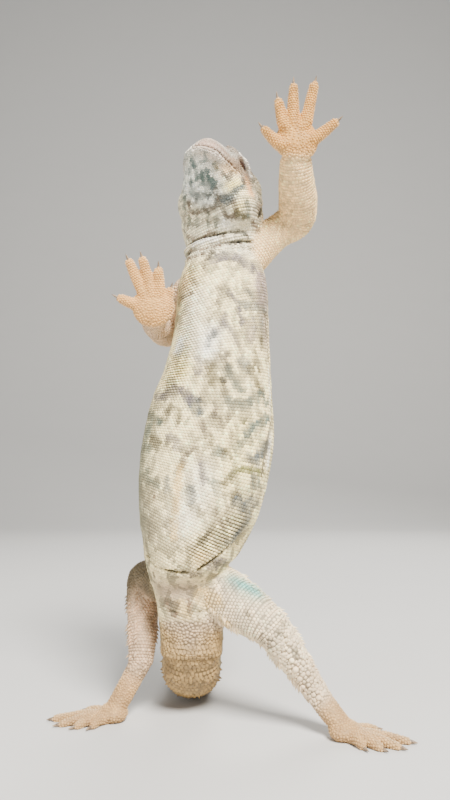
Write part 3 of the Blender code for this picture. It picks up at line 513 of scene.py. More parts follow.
earForm = {
    "forward": -32.2, "height": 1.5, "halfLength": 1.9, "halfHeight": 3.6, "depth": 1.9, "from": 9.0,
    "to": 19.5}
looseSkin = {"rolls": 0.22, "ripples": 0.10, "handsStill": (7.0, 13.0), "leastRoll": 0.35}
hollows = (((14.5, -8.0, 66.5), 6.0, 3.6), ((17.5, -6.0, 72.0), 5.0, 1.6))  # place, radius and depth
lidForm = {"reach": 6.5, "rim": 1.32, "rimWidth": 0.22, "rimHeight": 0.28, "edge": (1.12, 0.86), "floor": 3.1}

places = placesOf(hide)
normals = normalsOf(hide)
inHead = toHead(places)
push = np.zeros(len(places))
mouth = [headMatrix @ point for point in mouthLine(24)[0]]
push += groove(places, mouth, creaseForm["mouth"]["depth"], creaseForm["mouth"]["width"])
for side in (-1, 1):
    x, y, z = creaseForm["nostril"]["at"]
    nostril = headMatrix @ (Vector((x, y * side, z)) * mm)
    hole = [nostril, nostril + headAxes()[0] * 0.5 * mm]
    push += groove(places, hole, creaseForm["nostril"]["depth"], creaseForm["nostril"]["width"])
    across = (inHead[:, 0] - earForm["forward"]) / earForm["halfLength"]
    upwards = (inHead[:, 2] - earForm["height"]) / earForm["halfHeight"]
    ear = np.exp(-(across ** 2 + upwards ** 2) ** 1.5)
    outwards = inHead[:, 1] * side
    push -= earForm["depth"] * mm * ear * (outwards > earForm["from"]) * (outwards < earForm["to"])
for height, rise, radius, start, end in neckFolds:
    for sign, crease in ((1, creaseForm["neckAbove"]), (-1, creaseForm["neckBelow"])):
        line = foldLine(height + sign * (radius + 0.2), rise, start, end, 40, 0.3)
        push += groove(places, line, crease["depth"], crease["width"])
for fold in foldForm.values():
    push += groove(places, [Vector(point) * mm for point in fold["path"]], fold["depth"], fold["width"])
rolling = np.array([noise.noise(Vector(p) * 150) for p in places]) * looseSkin["rolls"] * mm
rolling += np.array([noise.noise(Vector(p) * 420) for p in places]) * looseSkin["ripples"] * mm
calm = np.ones(len(places))
for hand in hands.values():
    near, far = looseSkin["handsStill"]
    calm *= smooth(near * mm, far * mm, np.linalg.norm(places - np.array(hand["palm"]) * mm, axis=1))
push += rolling * (looseSkin["leastRoll"] + (1 - looseSkin["leastRoll"]) * calm)
for centre, radius, depth in hollows:  # where the belly hangs over the thigh
    gap = np.linalg.norm(places - np.array(centre) * mm, axis=1)
    places = places - normals * (depth * mm * np.exp(-(gap / (radius * mm)) ** 2))[:, None]
places = places + normals * push[:, None]
for side in (-1, 1):
    along, out, up = (np.array(headTurn.to_3x3() @ axis) for axis in eyeFrame(side))
    centre = np.array(eyeCentre(side))
    spokes = places - centre
    reach = np.linalg.norm(spokes, axis=1)
    ways = spokes / reach[:, None]
    lid = eyeForm["lid"] / mm
    a, b = ways @ along / (eyeForm["slitLength"] / lid), ways @ up / (eyeForm["slitHeight"] / lid)
    ring = np.sqrt(a ** 2 + b ** 2)
    near = (reach < lidForm["reach"] * mm) & (ways @ out > 0)
    raised = np.exp(-((ring - lidForm["rim"]) / lidForm["rimWidth"]) ** 2) * near
    sunk = smooth(*lidForm["edge"], ring) * near
    reach = reach + lidForm["rimHeight"] * mm * raised
    reach = reach + (lidForm["floor"] * mm - reach) * sunk
    places = np.where(near[:, None], centre + ways * reach[:, None], places)
places[:, 2] = np.maximum(places[:, 2], 0.0)
setPlaces(hide, places)
print("hide creased")


# regions: the nearest bone decides which part of the body a point belongs to
def chain(points, radii):
    return [(tuple(point), radius) for point, radius in zip(points, radii)]


boneForm = {"neck": 15.0, "palm": 7.0, "soles": (4.4, 5.0), "digits": (2.8, 2.4, 1.7),
            "toes": (2.5, 2.2, 1.4), "digitFrom": 0.55, "soleFrom": 0.45}


def regionBones():
    bones = {"trunk": [chain([row[:3] for row in trunkRows[3:18]],
                             [(row[3] + row[4]) / 2 for row in trunkRows[3:18]])],
             "neck": [chain([row[:3] for row in trunkRows[17:]], [boneForm["neck"]] * len(trunkRows[17:]))],
             "tail": [chain([row[:3] for row in tailRows], [(row[3] + row[4]) / 2 for row in tailRows])]}
    inside = [headMatrix @ (Vector((row[0], 0, 0)) * mm) / mm for row in headRows]
    bones["head"] = [chain(inside, [(row[1] + row[2] + row[3]) / 3 for row in headRows])]
    for name, joints in limbs.items():
        bones[name] = [[(point, radius) for point, radius in joints]]
    for name, hand in hands.items():
        palm = Vector(hand["palm"])
        bones[name] = [chain([palm, palm + Vector((0, 0, 1))], [boneForm["palm"]] * 2)]
        for base, tip in hand["digits"]:
            inPalm = palm.lerp(Vector(base), boneForm["digitFrom"])
            bones[name].append(chain([inPalm, base, tip], boneForm["digits"]))
    for name, foot in feet.items():
        ball = Vector(foot["ball"])
        bones[name] = [chain([Vector(foot["ankle"]).lerp(ball, boneForm["soleFrom"]), ball],
                             boneForm["soles"])]
        for base, knuckle, tip in toeLines(foot):
            bones[name].append(chain([ball, base / mm, tip / mm], boneForm["toes"]))
    return bones


def boneGap(places, chains):
    best = np.full(len(places), 1e9)
    for joints in chains:
        for (a, ra), (b, rb) in zip(joints, joints[1:]):
            start, way = np.array(a) * mm, (np.array(b) - np.array(a)) * mm
            share = np.clip((places - start) @ way / (way @ way), 0.0, 1.0)
            offset = places - start - share[:, None] * way
            gap = np.linalg.norm(offset, axis=1) / ((ra + (rb - ra) * share) * mm)
            best = np.minimum(best, gap)
    return best


bones = regionBones()
regionNames = list(bones)
places = placesOf(hide)
regionOf = np.argmin([boneGap(places, bones[name]) for name in regionNames], axis=0)
hideTree = BVHTree.FromPolygons([Vector(p) for p in places], [p.vertices[:] for p in hide.data.polygons])
faceCorner = np.array([p.vertices[0] for p in hide.data.polygons])
print("regions:", {name: int((regionOf == k).sum()) for k, name in enumerate(regionNames)})

# colours of the skin, linear red, green and blue: the ground tone, the ink of its marks, and how strong the
# blotches and the fine lines are
# painted shade: the right thigh's dark brown tone and ink (legRight) stand for the shadow it lies in; its own
# paler colour is the one in backTones, laid on its far side
hideTones = {
    "trunk": (1.0, 0.84, 0.45), "neck": (0.96, 0.86, 0.60), "tail": (0.42, 0.27, 0.105),
    "head": (1.0, 0.98, 0.84), "armLeft": (1.0, 0.70, 0.34), "armRight": (0.74, 0.52, 0.32),
    "legLeft": (1.0, 0.80, 0.52), "legRight": (0.17, 0.125, 0.065), "handLeft": (0.60, 0.31, 0.075),
    "handRight": (0.68, 0.37, 0.115), "footLeft": (0.52, 0.32, 0.135), "footRight": (0.52, 0.32, 0.135)}
backTones = {
    "legRight": (0.72, 0.55, 0.34), "handLeft": (0.82, 0.60, 0.36), "handRight": (0.82, 0.60, 0.36),
    "footLeft": (0.70, 0.52, 0.32), "footRight": (0.70, 0.52, 0.32), "armRight": (0.90, 0.68, 0.42)}
regionInks = {
    "trunk": (0.15, 0.125, 0.075), "neck": (0.10, 0.11, 0.08), "tail": (0.15, 0.10, 0.05),
    "head": (0.085, 0.11, 0.10), "armLeft": (0.36, 0.26, 0.17), "armRight": (0.22, 0.16, 0.11),
    "legLeft": (0.28, 0.25, 0.19), "legRight": (0.08, 0.06, 0.03), "handLeft": (0.40, 0.16, 0.07),
    "handRight": (0.36, 0.17, 0.09), "footLeft": (0.28, 0.15, 0.08), "footRight": (0.28, 0.15, 0.08)}
markStrengths = {
    "trunk": (0.80, 0.22), "neck": (0.38, 0.3), "tail": (0.5, 0.1), "head": (0.42, 0.3),
    "armLeft": (0.2, 0.15), "armRight": (0.4, 0.2), "legLeft": (0.35, 0.25), "legRight": (0.6, 0.3),
    "handLeft": (0.1, 0.1), "handRight": (0.1, 0.1), "footLeft": (0.2, 0.1), "footRight": (0.2, 0.1)}
paints = {
    "white": (1.0, 0.95, 0.84), "peach": (1.0, 0.68, 0.34), "orange": (0.93, 0.52, 0.22),
    "lemon": (1.0, 0.82, 0.28), "tan": (0.44, 0.28, 0.20), "brown": (0.17, 0.10, 0.06),
    "olive": (0.15, 0.12, 0.055), "gold": (0.82, 0.55, 0.20), "greyGreen": (0.32, 0.32, 0.20),
    "bluegreen": (0.10, 0.145, 0.125), "lavender": (0.18, 0.15, 0.145), "greyBrown": (0.14, 0.105, 0.07),
    "blueGrey": (0.12, 0.135, 0.13), "turquoise": (0.22, 0.50, 0.43), "green": (0.20, 0.19, 0.06),
    "black": (0.03, 0.025, 0.018), "pinkGrey": (0.34, 0.25, 0.23), "beige": (1.0, 0.68, 0.43),
    "clay": (0.52, 0.38, 0.25), "umber": (0.15, 0.10, 0.065), "fawn": (0.18, 0.115, 0.08),
    "moss": (0.13, 0.15, 0.11)}
# washes over the ground tone:
# paint, amount, radius, how much of the marks stays, then the stroke's points in millimetres
washes = (
    ("white", 0.8, 5.0, 0.3, ((1.1, -14.4, 143.8), (3.0, -14.8, 150.0))),
    # painted highlight: the first white spot here, on the front of the throat, is a glint of light on the
    # skin
    ("white", 0.9, 3.6, 0.2, ((8.0, -10.5, 196.5),)), ("lemon", 0.5, 3.8, 0.6, ((-7.9, -13.1, 136.1),)),
    ("peach", 0.6, 4.0, 0.5, ((-8.2, -6.3, 172.3),)),
    ("white", 0.45, 6.0, 0.35, ((-4.0, -11.0, 165.0), (-6.0, -11.0, 150.0))),
    ("gold", 0.6, 3.8, 0.5, ((-0.8, -16.8, 64.9),)), ("gold", 0.6, 3.6, 0.4, ((2.4, -8.2, 49.7),)),
    ("clay", 0.9, 6.5, 0.8, ((-15.7, -6.3, 51.3), (-6.0, -8.1, 51.6))),
    # painted shade: the grey-green wash along the belly's left edge is the shadow on that side, with a
    # greenish cast of reflected light
    ("greyGreen", 0.9, 9.5, 1.0, ((-26.0, -7.0, 78.0), (-27.0, -5.0, 98.0), (-26.0, -6.0, 116.0))),
    ("clay", 0.3, 8.0, 1.0, ((-20.0, -10.0, 72.0), (-21.0, -10.0, 84.0))),
    ("white", 0.45, 6.0, 0.3, ((-7.0, -17.0, 78.0), (-2.0, -18.0, 88.0), (0.0, -18.0, 96.0))),
    ("pinkGrey", 0.75, 5.5, 1.0, ((25.5, -6.0, 178.0), (25.0, -6.0, 165.0), (26.0, -5.0, 150.0))),
    ("fawn", 0.9, 3.3, 0.4, ((3.5, -22.0, 223.0), (6.9, -21.0, 221.7), (11.0, -19.0, 219.0))),
    ("umber", 0.9, 3.5, 0.7, ((9.3, -16.7, 226.0), (12.5, -15.8, 224.8), (14.6, -14.8, 223.4),
     (16.6, -14.0, 220.8), (18.6, -11.1, 218.0))),
    ("lemon", 0.35, 8.0, 1.0, ((14.0, -16.0, 112.0), (12.0, -17.0, 96.0))),
    ("greyGreen", 0.5, 5.0, 1.0, ((-17.0, -9.0, 68.0), (-20.0, -10.0, 78.0))),
    ("peach", 0.9, 3.7, 0.15, ((8.6, -19.8, 214.6), (12.6, -17.8, 215.2))),
    ("lemon", 0.9, 2.8, 0.25, ((13.3, -16.9, 210.4), (9.4, -18.6, 208.0))),
    ("lemon", 0.8, 2.8, 0.3, ((14.0, -13.5, 202.6), (16.0, -12.4, 205.6))),
    ("orange", 0.9, 2.1, 0.1, ((16.5, -13.9, 213.9), (18.6, -12.6, 207.7))),
    ("brown", 0.8, 3.8, 0.8, ((22.5, -7.2, 203.7),)),
    ("peach", 0.45, 5.0, 0.6, ((36.8, -13.0, 214.5), (38.4, -4.5, 208.4))),
    ("turquoise", 1.0, 4.0, 0.3, ((12.0, -7.9, 56.6), (15.4, -8.6, 53.6), (20.0, -9.0, 51.0))),
    ("beige", 1.0, 7.0, 0.3, ((-26.2, 14.0, 40.0), (-25.8, 9.5, 22.0))),
    ("clay", 0.75, 6.5, 0.4, ((38.5, -9.0, 20.0), (43.0, -8.5, 12.0))),
    ("clay", 0.7, 3.4, 0.3, ((-13.0, -5.0, 38.4), (-5.0, -6.5, 38.0), (2.0, -4.0, 38.6))),
    ("clay", 0.6, 5.0, 0.3, ((-5.0, -6.0, 33.0),)),
    ("greyGreen", 0.7, 2.6, 0.6, ((6.6, 2.0, 34.0), (6.4, 8.0, 22.0))),
    ("greyGreen", 0.4, 3.0, 0.6, ((-17.0, 2.0, 33.0), (-16.6, 8.0, 22.0))),
    # painted highlight: the thin white line along the right flank, in front of its fold, is light on that
    # edge
    ("white", 0.85, 1.1, 0.1, ((26.4, -4.6, 138.0), (26.8, -5.0, 128.0), (26.9, -6.0, 118.0),
     (26.2, -6.6, 108.0), (25.2, -6.6, 98.0))))
# washes in the head's own frame: one that stands off the middle is laid on both sides
headWashes = (
    ("tan", 0.9, 4.4, 0.25, ((-0.5, 0.0, -1.0), (-3.5, 4.5, -1.5))),
    ("fawn", 0.8, 2.4, 0.3, ((-6.0, 7.5, -2.0), (-12.0, 11.5, 1.0))),
    ("tan", 0.8, 5.0, 0.5, ((-2.0, 0.0, 4.0), (-14.0, 0.0, 10.0))),
    ("umber", 0.8, 3.4, 0.6, ((-11.0, 11.6, 4.0), (-15.0, 13.4, 4.4), (-19.0, 13.6, 4.0))),
    ("brown", 0.95, 2.2, 0.6, ((-11.0, 12.4, 5.2), (-16.0, 13.8, 4.8))),
    # painted highlight: the thin white line along each brow's rim is light on the top of the ridge
    ("white", 0.95, 0.7, 0.1, ((-9.8, 10.2, 9.0), (-11.6, 12.2, 7.6), (-13.6, 13.0, 7.3),
     (-16.2, 13.2, 8.0), (-18.2, 14.6, 5.7))))
# marks of the belly, chest and throat as seen from the front:
# paint, strength, width, then x and height in millimetres
frontMarks = (
    ("lavender", 0.6, 3.0, (3.5, 181.7), (7.3, 183.0), (11.0, 183.0), (14.7, 181.8), (18.7, 178.2)),
    ("greyBrown", 0.6, 1.4, (2.8, 185.0), (1.6, 183.2), (0.4, 181.6)),
    ("greyBrown", 0.5, 1.0, (-0.6, 180.2), (1.0, 176.4)),
    ("greyBrown", 0.5, 1.0, (-9.6, 166.8), (-7.6, 166.6), (-5.6, 167.4)),
    ("greyBrown", 0.4, 0.9, (-4.6, 173.4), (-3.2, 170.6)),
    ("greyBrown", 0.45, 1.3, (5.4, 169.6), (5.5, 166.2)),
    ("greyBrown", 0.35, 2.2, (8.2, 169.6), (9.4, 166.8)),
    ("lavender", 0.6, 1.3, (9.8, 167.6), (11.6, 165.4), (13.3, 162.4), (14.2, 158.6), (15.0, 154.4)),
    ("blueGrey", 0.5, 2.8, (16.0, 162.6), (20.0, 162.2), (23.5, 161.8)),
    ("blueGrey", 0.5, 1.4, (17.0, 168.6), (18.8, 166.2)),
    ("pinkGrey", 0.55, 4.0, (23.4, 175.0), (23.4, 165.5)),
    ("greyBrown", 0.6, 0.8, (5.3, 164.0), (5.5, 161.4)),
    ("blueGrey", 0.5, 0.8, (19.6, 157.4), (19.8, 151.4)),
    ("blueGrey", 0.4, 1.0, (22.6, 158.0), (22.8, 152.6)),
    ("lavender", 0.55, 2.2, (7.8, 157.0), (7.4, 153.4), (5.0, 150.8)),
    ("blueGrey", 0.5, 1.5, (4.2, 150.4), (2.4, 148.4), (1.8, 145.8)),
    ("lavender", 0.45, 1.4, (8.8, 154.4), (10.8, 151.8), (12.4, 149.2), (13.0, 145.4)),
    ("pinkGrey", 0.35, 2.6, (18.6, 155.0), (18.2, 149.0)),
    ("olive", 0.75, 1.5, (22.6, 149.0), (23.0, 145.8)),
    ("olive", 0.8, 1.0, (20.2, 145.4), (20.0, 141.0), (20.8, 138.4), (22.2, 135.2)),
    ("greyBrown", 0.3, 1.1, (2.2, 160.6), (2.2, 156.0)),
    ("greyBrown", 0.4, 1.2, (14.0, 147.0), (15.2, 143.0)),
    ("lavender", 0.5, 2.2, (-2.2, 140.0), (-1.8, 134.6)),
    ("greyBrown", 0.5, 1.1, (0.6, 139.0), (0.9, 135.4)),
    ("greyBrown", 0.5, 1.7, (9.4, 142.4), (7.8, 140.0), (9.2, 137.4)),
    ("greyBrown", 0.35, 1.0, (6.0, 142.0), (6.2, 139.4)),
    ("olive", 0.6, 2.4, (3.6, 137.2), (3.2, 134.0), (3.0, 130.6)),
    ("olive", 0.62, 2.2, (4.2, 131.8), (6.2, 131.6), (7.2, 129.4), (8.4, 126.6)),
    ("black", 0.7, 0.9, (7.8, 131.6), (7.9, 130.8)),
    ("moss", 0.75, 2.3, (9.2, 136.6), (10.6, 133.6), (12.3, 130.8), (14.4, 128.0)),
    ("blueGrey", 0.5, 2.6, (14.6, 139.2), (16.4, 138.0), (17.6, 136.2)),
    ("olive", 0.7, 1.7, (18.6, 136.6), (19.8, 133.0), (21.6, 129.4), (23.0, 126.0)),
    ("bluegreen", 0.55, 2.3, (9.6, 123.8), (11.0, 121.4), (13.4, 122.6), (15.4, 121.6), (17.4, 122.8),
     (19.6, 123.8), (21.6, 126.4)), ("green", 0.8, 1.1, (15.2, 116.4), (15.8, 114.8)),
    ("olive", 0.4, 1.4, (15.6, 114.6), (16.6, 112.4)),
    ("bluegreen", 0.62, 2.5, (24.4, 117.4), (21.7, 114.8), (19.0, 113.2), (17.2, 111.2)),
    ("bluegreen", 0.5, 1.6, (24.4, 123.4), (23.4, 126.0)),
    ("blueGrey", 0.62, 3.6, (-4.8, 123.6), (-2.6, 122.2), (-2.2, 120.2)),
    ("lavender", 0.58, 2.4, (-18.4, 126.2), (-15.4, 125.6), (-13.4, 126.8), (-11.0, 128.2),
     (-9.0, 127.8), (-6.6, 126.0), (-5.0, 124.2)), ("greyBrown", 0.35, 1.6, (-0.4, 126.4), (-0.6, 122.6)),
    ("olive", 0.7, 1.7, (-12.6, 121.6), (-14.4, 119.2), (-16.0, 116.8)),
    ("olive", 0.55, 1.5, (-9.5, 120.0), (-9.6, 115.6)),
    ("greyBrown", 0.5, 1.3, (4.3, 122.0), (4.9, 119.0), (6.0, 116.2), (7.3, 113.6), (8.8, 115.4),
     (10.0, 118.2)),
    ("greyBrown", 0.5, 1.5, (4.6, 119.0), (2.2, 116.8), (0.2, 115.0), (0.4, 112.8), (1.8, 110.4)),
    ("greyBrown", 0.3, 3.0, (-1.4, 113.8), (-1.0, 111.0)),
    ("moss", 0.6, 2.2, (-21.8, 119.4), (-19.2, 117.2), (-17.2, 115.6)),
    ("moss", 0.6, 1.8, (-22.0, 114.4), (-22.2, 110.6)), ("olive", 0.6, 2.3, (-19.8, 109.2), (-17.6, 106.8)),
    ("moss", 0.5, 2.0, (-23.4, 106.6), (-21.6, 105.6)), ("olive", 0.5, 1.5, (-14.2, 107.4), (-13.6, 105.0)),
    ("lavender", 0.5, 2.4, (-12.8, 109.4), (-10.6, 108.0), (-9.4, 105.8)),
    ("greyBrown", 0.55, 1.6, (-3.8, 105.8), (-5.2, 104.0), (-6.8, 102.4), (-7.8, 100.0), (-8.0, 97.0)),
    ("greyBrown", 0.4, 1.5, (-2.6, 104.8), (-1.1, 102.8), (-0.8, 99.6)),
    ("bluegreen", 0.5, 2.4, (5.2, 104.4), (7.6, 102.6)), ("olive", 0.75, 1.5, (8.8, 104.2), (10.7, 101.8)),
    ("moss", 0.55, 2.0, (12.2, 105.6), (14.4, 107.2), (17.2, 108.6)),
    ("greyBrown", 0.4, 1.1, (10.3, 112.4), (11.4, 108.0)), ("olive", 0.4, 1.1, (3.0, 108.8), (3.6, 106.0)),
    ("blueGrey", 0.6, 2.5, (24.2, 107.0), (21.8, 103.2)),
    ("blueGrey", 0.55, 2.0, (17.2, 102.6), (18.8, 100.4)),
    ("blueGrey", 0.5, 1.5, (20.4, 102.0), (20.6, 98.6)),
    ("gold", 0.45, 2.0, (-8.6, 98.4), (-9.0, 92.0), (-10.0, 86.0), (-11.0, 79.0), (-11.0, 72.0)),
    ("lavender", 0.5, 1.8, (-0.4, 99.0), (0.2, 92.6)), ("bluegreen", 0.45, 2.2, (4.2, 92.8), (5.8, 88.8)),
    ("olive", 0.8, 1.7, (10.8, 95.6), (8.2, 92.2)),
    ("green", 0.62, 1.7, (10.0, 95.2), (12.8, 97.0), (16.3, 97.2), (20.2, 96.6), (22.8, 95.4)),
    ("bluegreen", 0.55, 2.4, (19.4, 94.0), (20.4, 91.0)),
    ("blueGrey", 0.5, 2.8, (-4.8, 89.8), (-4.6, 86.0)),
    ("blueGrey", 0.45, 2.0, (-13.7, 93.6), (-13.4, 89.4)), ("moss", 0.5, 1.7, (-22.0, 96.4), (-21.6, 92.4)),
    ("moss", 0.5, 2.0, (-18.4, 93.4), (-17.4, 91.0)), ("brown", 0.55, 1.0, (-18.8, 88.8), (-19.0, 86.2)),
    ("olive", 0.6, 2.4, (11.4, 88.2), (13.4, 85.4)),
    ("blueGrey", 0.62, 3.0, (13.4, 84.8), (16.2, 82.6), (18.6, 85.4)),
    ("greyBrown", 0.55, 0.9, (4.2, 82.2), (4.9, 81.0)), ("greyBrown", 0.5, 1.0, (9.2, 83.4), (8.4, 80.8)),
    ("olive", 0.45, 2.4, (-2.8, 83.2), (-1.2, 80.8)), ("black", 0.85, 0.8, (9.0, 78.4), (9.9, 77.2)),
    ("greyBrown", 0.5, 1.7, (6.2, 78.6), (8.0, 76.4)),
    ("olive", 0.7, 1.8, (4.2, 76.4), (2.4, 74.2), (0.8, 72.2), (-0.8, 70.4)),
    # painted shadow: the blue-grey line along the belly's lower right edge, where it hangs over the thigh
    ("blueGrey", 0.6, 2.2, (9.6, 70.2), (12.0, 72.2), (14.5, 75.0), (16.6, 79.0)),
    ("greyBrown", 0.4, 1.4, (-14.8, 76.4), (-12.6, 78.4)),
    ("greyBrown", 0.35, 2.2, (-19.6, 78.4), (-19.4, 71.4)),
    ("greyBrown", 0.3, 1.6, (-8.6, 71.4), (-8.4, 68.0)), ("lavender", 0.6, 2.4, (2.6, 60.8), (6.6, 62.4)),
    # painted shade: the dark line just under the crease at the belly's lower edge, where the belly hangs over
    ("greyBrown", 0.6, 1.4, (-5.2, 58.4), (-1.2, 58.2)),
    ("bluegreen", 0.6, 1.2, (-5.2, 219.0), (-4.0, 216.2)),
    ("bluegreen", 0.55, 1.0, (0.0, 219.0), (0.2, 216.4)),
    ("bluegreen", 0.6, 1.1, (-3.5, 215.0), (-3.4, 212.6)),
    ("bluegreen", 0.62, 1.3, (-1.6, 214.4), (-0.6, 211.6)),
    ("bluegreen", 0.62, 1.4, (0.8, 214.0), (1.8, 211.8), (3.4, 211.0)),
    ("bluegreen", 0.5, 1.0, (-5.8, 213.0), (-5.8, 209.4)),
    ("bluegreen", 0.6, 1.4, (1.6, 211.4), (3.0, 209.2), (4.6, 210.4)),
    ("blueGrey", 0.6, 1.4, (-4.2, 208.4), (-1.6, 206.8), (1.2, 206.4), (3.2, 207.8), (3.4, 209.4)),
    ("greyBrown", 0.68, 1.5, (-6.7, 206.8), (-6.3, 204.4), (-4.3, 203.0), (-1.0, 202.8), (1.2, 202.2),
     (3.8, 202.6), (5.0, 204.6)),
    ("greyBrown", 0.6, 1.3, (4.2, 208.4), (5.4, 205.8), (6.2, 203.0), (7.4, 200.8), (8.8, 199.2),
     (11.0, 198.4)), ("blueGrey", 0.65, 2.4, (7.2, 205.2), (9.2, 204.2), (11.2, 204.6)),
    ("greyBrown", 0.6, 1.8, (11.6, 203.6), (12.6, 200.8), (12.0, 198.6)),
    ("olive", 0.6, 2.2, (13.0, 199.6), (15.6, 199.0)),
    ("blueGrey", 0.55, 1.8, (9.4, 205.6), (11.6, 206.8), (13.6, 208.4), (14.8, 209.4)),
    ("greyBrown", 0.5, 1.6, (7.4, 213.2), (9.4, 211.4), (10.4, 212.8)),
    ("olive", 0.65, 1.5, (3.8, 215.6), (5.0, 214.8)), ("moss", 0.6, 1.5, (17.2, 203.8), (17.6, 199.4)),
    ("brown", 0.7, 1.7, (19.8, 197.6), (21.4, 196.6)),
    ("greyBrown", 0.6, 1.1, (15.2, 212.6), (16.0, 210.8)), ("moss", 0.45, 1.2, (1.0, 201.2), (1.0, 197.4)),
    ("moss", 0.5, 1.6, (4.2, 199.2), (4.6, 196.6)), ("moss", 0.5, 1.4, (-7.0, 201.6), (-6.8, 199.6)),
    ("moss", 0.45, 1.3, (-3.6, 200.6), (-3.4, 197.8)), ("moss", 0.5, 1.2, (-8.6, 209.4), (-8.6, 205.0)),
    # painted shade and highlight at the neck folds: the brown and black lines are shade in the creases above,
    # below and between the folds' scallops, and the white strokes are light on the top of the nearer fold
    ("brown", 0.85, 1.2, (-7.6, 195.6), (-4.5, 193.3), (-1.2, 192.8), (1.8, 194.6), (4.5, 194.0),
     (7.6, 192.4)), ("black", 0.7, 1.1, (10.4, 194.0), (15.0, 194.2), (17.8, 192.6)),
    ("brown", 0.6, 0.8, (0.2, 193.4), (0.2, 191.0)), ("brown", 0.5, 0.8, (-5.0, 193.0), (-4.8, 190.6)),
    ("brown", 0.85, 0.9, (-6.4, 188.4), (-3.0, 187.4), (0.0, 187.6), (4.0, 188.6), (8.5, 189.4),
     (14.0, 189.4)), ("black", 0.6, 1.0, (10.6, 189.4), (14.2, 189.5)),
    ("brown", 0.75, 0.9, (-7.3, 185.0), (-3.2, 184.3), (0.2, 185.2), (2.6, 186.8), (6.0, 188.2)),
    ("white", 0.5, 2.2, (-4.0, 191.4), (-1.0, 191.2)), ("white", 0.5, 2.2, (1.6, 191.8), (4.6, 191.6)),
    ("lavender", 0.35, 1.1, (5.4, 56.0), (8.0, 53.6), (8.2, 51.4)),
    ("lavender", 0.35, 1.1, (11.0, 54.0), (12.4, 51.6)), ("gold", 0.42, 4.6, (-0.6, 49.4), (4.4, 46.6)),
    ("gold", 0.4, 3.6, (-8.6, 45.2), (-7.0, 43.2)), ("gold", 0.4, 1.6, (6.0, 41.4), (9.2, 38.8)),
    ("brown", 0.7, 1.2, (-5.4, 47.6), (-4.9, 43.6)), ("brown", 0.55, 2.0, (-14.0, 46.8), (-9.6, 45.6)),
    ("brown", 0.55, 1.4, (-13.0, 43.6), (-10.4, 42.4)), ("olive", 0.5, 0.9, (16.2, 44.8), (16.4, 43.6)),
    ("olive", 0.55, 1.0, (28.6, 40.6), (29.8, 40.2)), ("olive", 0.55, 1.0, (28.2, 37.8), (29.8, 36.2)),
    ("olive", 0.5, 1.0, (33.4, 31.4), (35.0, 29.0)), ("greyBrown", 0.5, 2.4, (22.4, 35.6), (24.6, 33.6)),
    ("white", 0.85, 2.0, (-9.6, 148.6), (-10.2, 144.0)),
    ("bluegreen", 0.35, 4.0, (-0.5, 212.6), (1.6, 209.8)))


facing = {"front": (0.15, -0.25), "back": (-0.2, 0.5)}
blending = {"regions": 45, "backs": 20}  # times that colours are evened out over their neighbours


def strokeShare(stroke, radius, matrix):
    line = [(matrix @ (Vector(p) * mm)) if matrix else Vector(p) * mm for p in stroke]
    return np.exp(-(pathGap(places, line)[0] / (radius * mm)) ** 2)


tone = np.array([hideTones[name] for name in regionNames])[regionOf]
ink = np.array([regionInks[name] for name in regionNames])[regionOf]
marks = np.array([(*markStrengths[name], 0.0) for name in regionNames])[regionOf]


def evened(values, mesh, times):  # averages values over neighbouring points, so that colours blend
    ends = np.empty(len(mesh.edges) * 2, np.int64)
    mesh.edges.foreach_get("vertices", ends)
    ends = ends.reshape(-1, 2)
    flat = values.reshape(len(values), -1)
    count = np.bincount(ends.ravel(), minlength=len(flat)).astype(float)
    for _ in range(times):
        total = np.zeros_like(flat)
        for column in range(flat.shape[1]):
            total[:, column] = (np.bincount(ends[:, 0], flat[ends[:, 1], column], len(flat))
                                + np.bincount(ends[:, 1], flat[ends[:, 0], column], len(flat)))
        flat = 0.5 * flat + 0.5 * total / count[:, None]
    return flat.reshape(values.shape)


tone, ink, marks = (evened(values, hide.data, blending["regions"]) for values in (tone, ink, marks))
headStrokes = []
for paint, amount, radius, stays, stroke in headWashes:
    headStrokes.append((paint, amount, radius, stays, stroke))
    if min(y for x, y, z in stroke) > 0:
        headStrokes.append((paint, amount, radius, stays, [(x, -y, z) for x, y, z in stroke]))
for table, matrix in ((washes, None), (headStrokes, headMatrix)):
    for paint, amount, radius, stays, stroke in table:
        share = strokeShare(stroke, radius, matrix)
        tone = tone + (np.array(paints[paint]) - tone) * (amount * share)[:, None]
        marks *= (1 - (1 - stays) * share)[:, None]
hideNormals = normalsOf(hide)
facingFront = smooth(*facing["front"], hideNormals[:, 1])
strokeForm = {"reach": 0.78, "soft": 0.8, "gain": 1.6, "raggedEdge": 1.1, "fineEdge": 0.55, "strongest": 0.95}
# finer strokes on the throat
throatForm = {"from": 190.0, "reach": 0.6, "soft": 0.45, "gain": 1.85, "ragged": 0.5}
# wavy bands across the throat, broken into dashes
throatBands = {"pitch": 3.6, "wave": 0.75, "strength": 0.62, "fullMarks": 0.40, "starts": (195, 199),
               "ends": (223, 219), "bluish": (204, 211)}
bellyForm = {"starts": (60, 70), "fewerMarks": 0.3, "streaks": 0.28, "shadeInCreases": 0.85}
unseenInk = (0.30, 0.22, 0.13)
# loose skin, where the rows of scales stand up: radius, then the points of the line
ridgedSkin = ((5.5, (-7.0, -9.0, 176.0), (-8.0, -9.0, 146.0), (-13.0, -11.0, 132.0)),
              (5.0, (-1.0, -17.0, 68.0), (6.0, -16.0, 72.0), (12.0, -13.0, 77.0)))


def grainOf(across, upwards):
    # noise at every point of the skin, drawn out in height where upwards is the smaller number
    return np.array([noise.noise(Vector((p[0] * across, p[1] * across, p[2] * upwards))) for p in places])


def fromHeight(low, high):  # none below one height in millimetres and all beyond the other
    return smooth(low * mm, high * mm, places[:, 2])


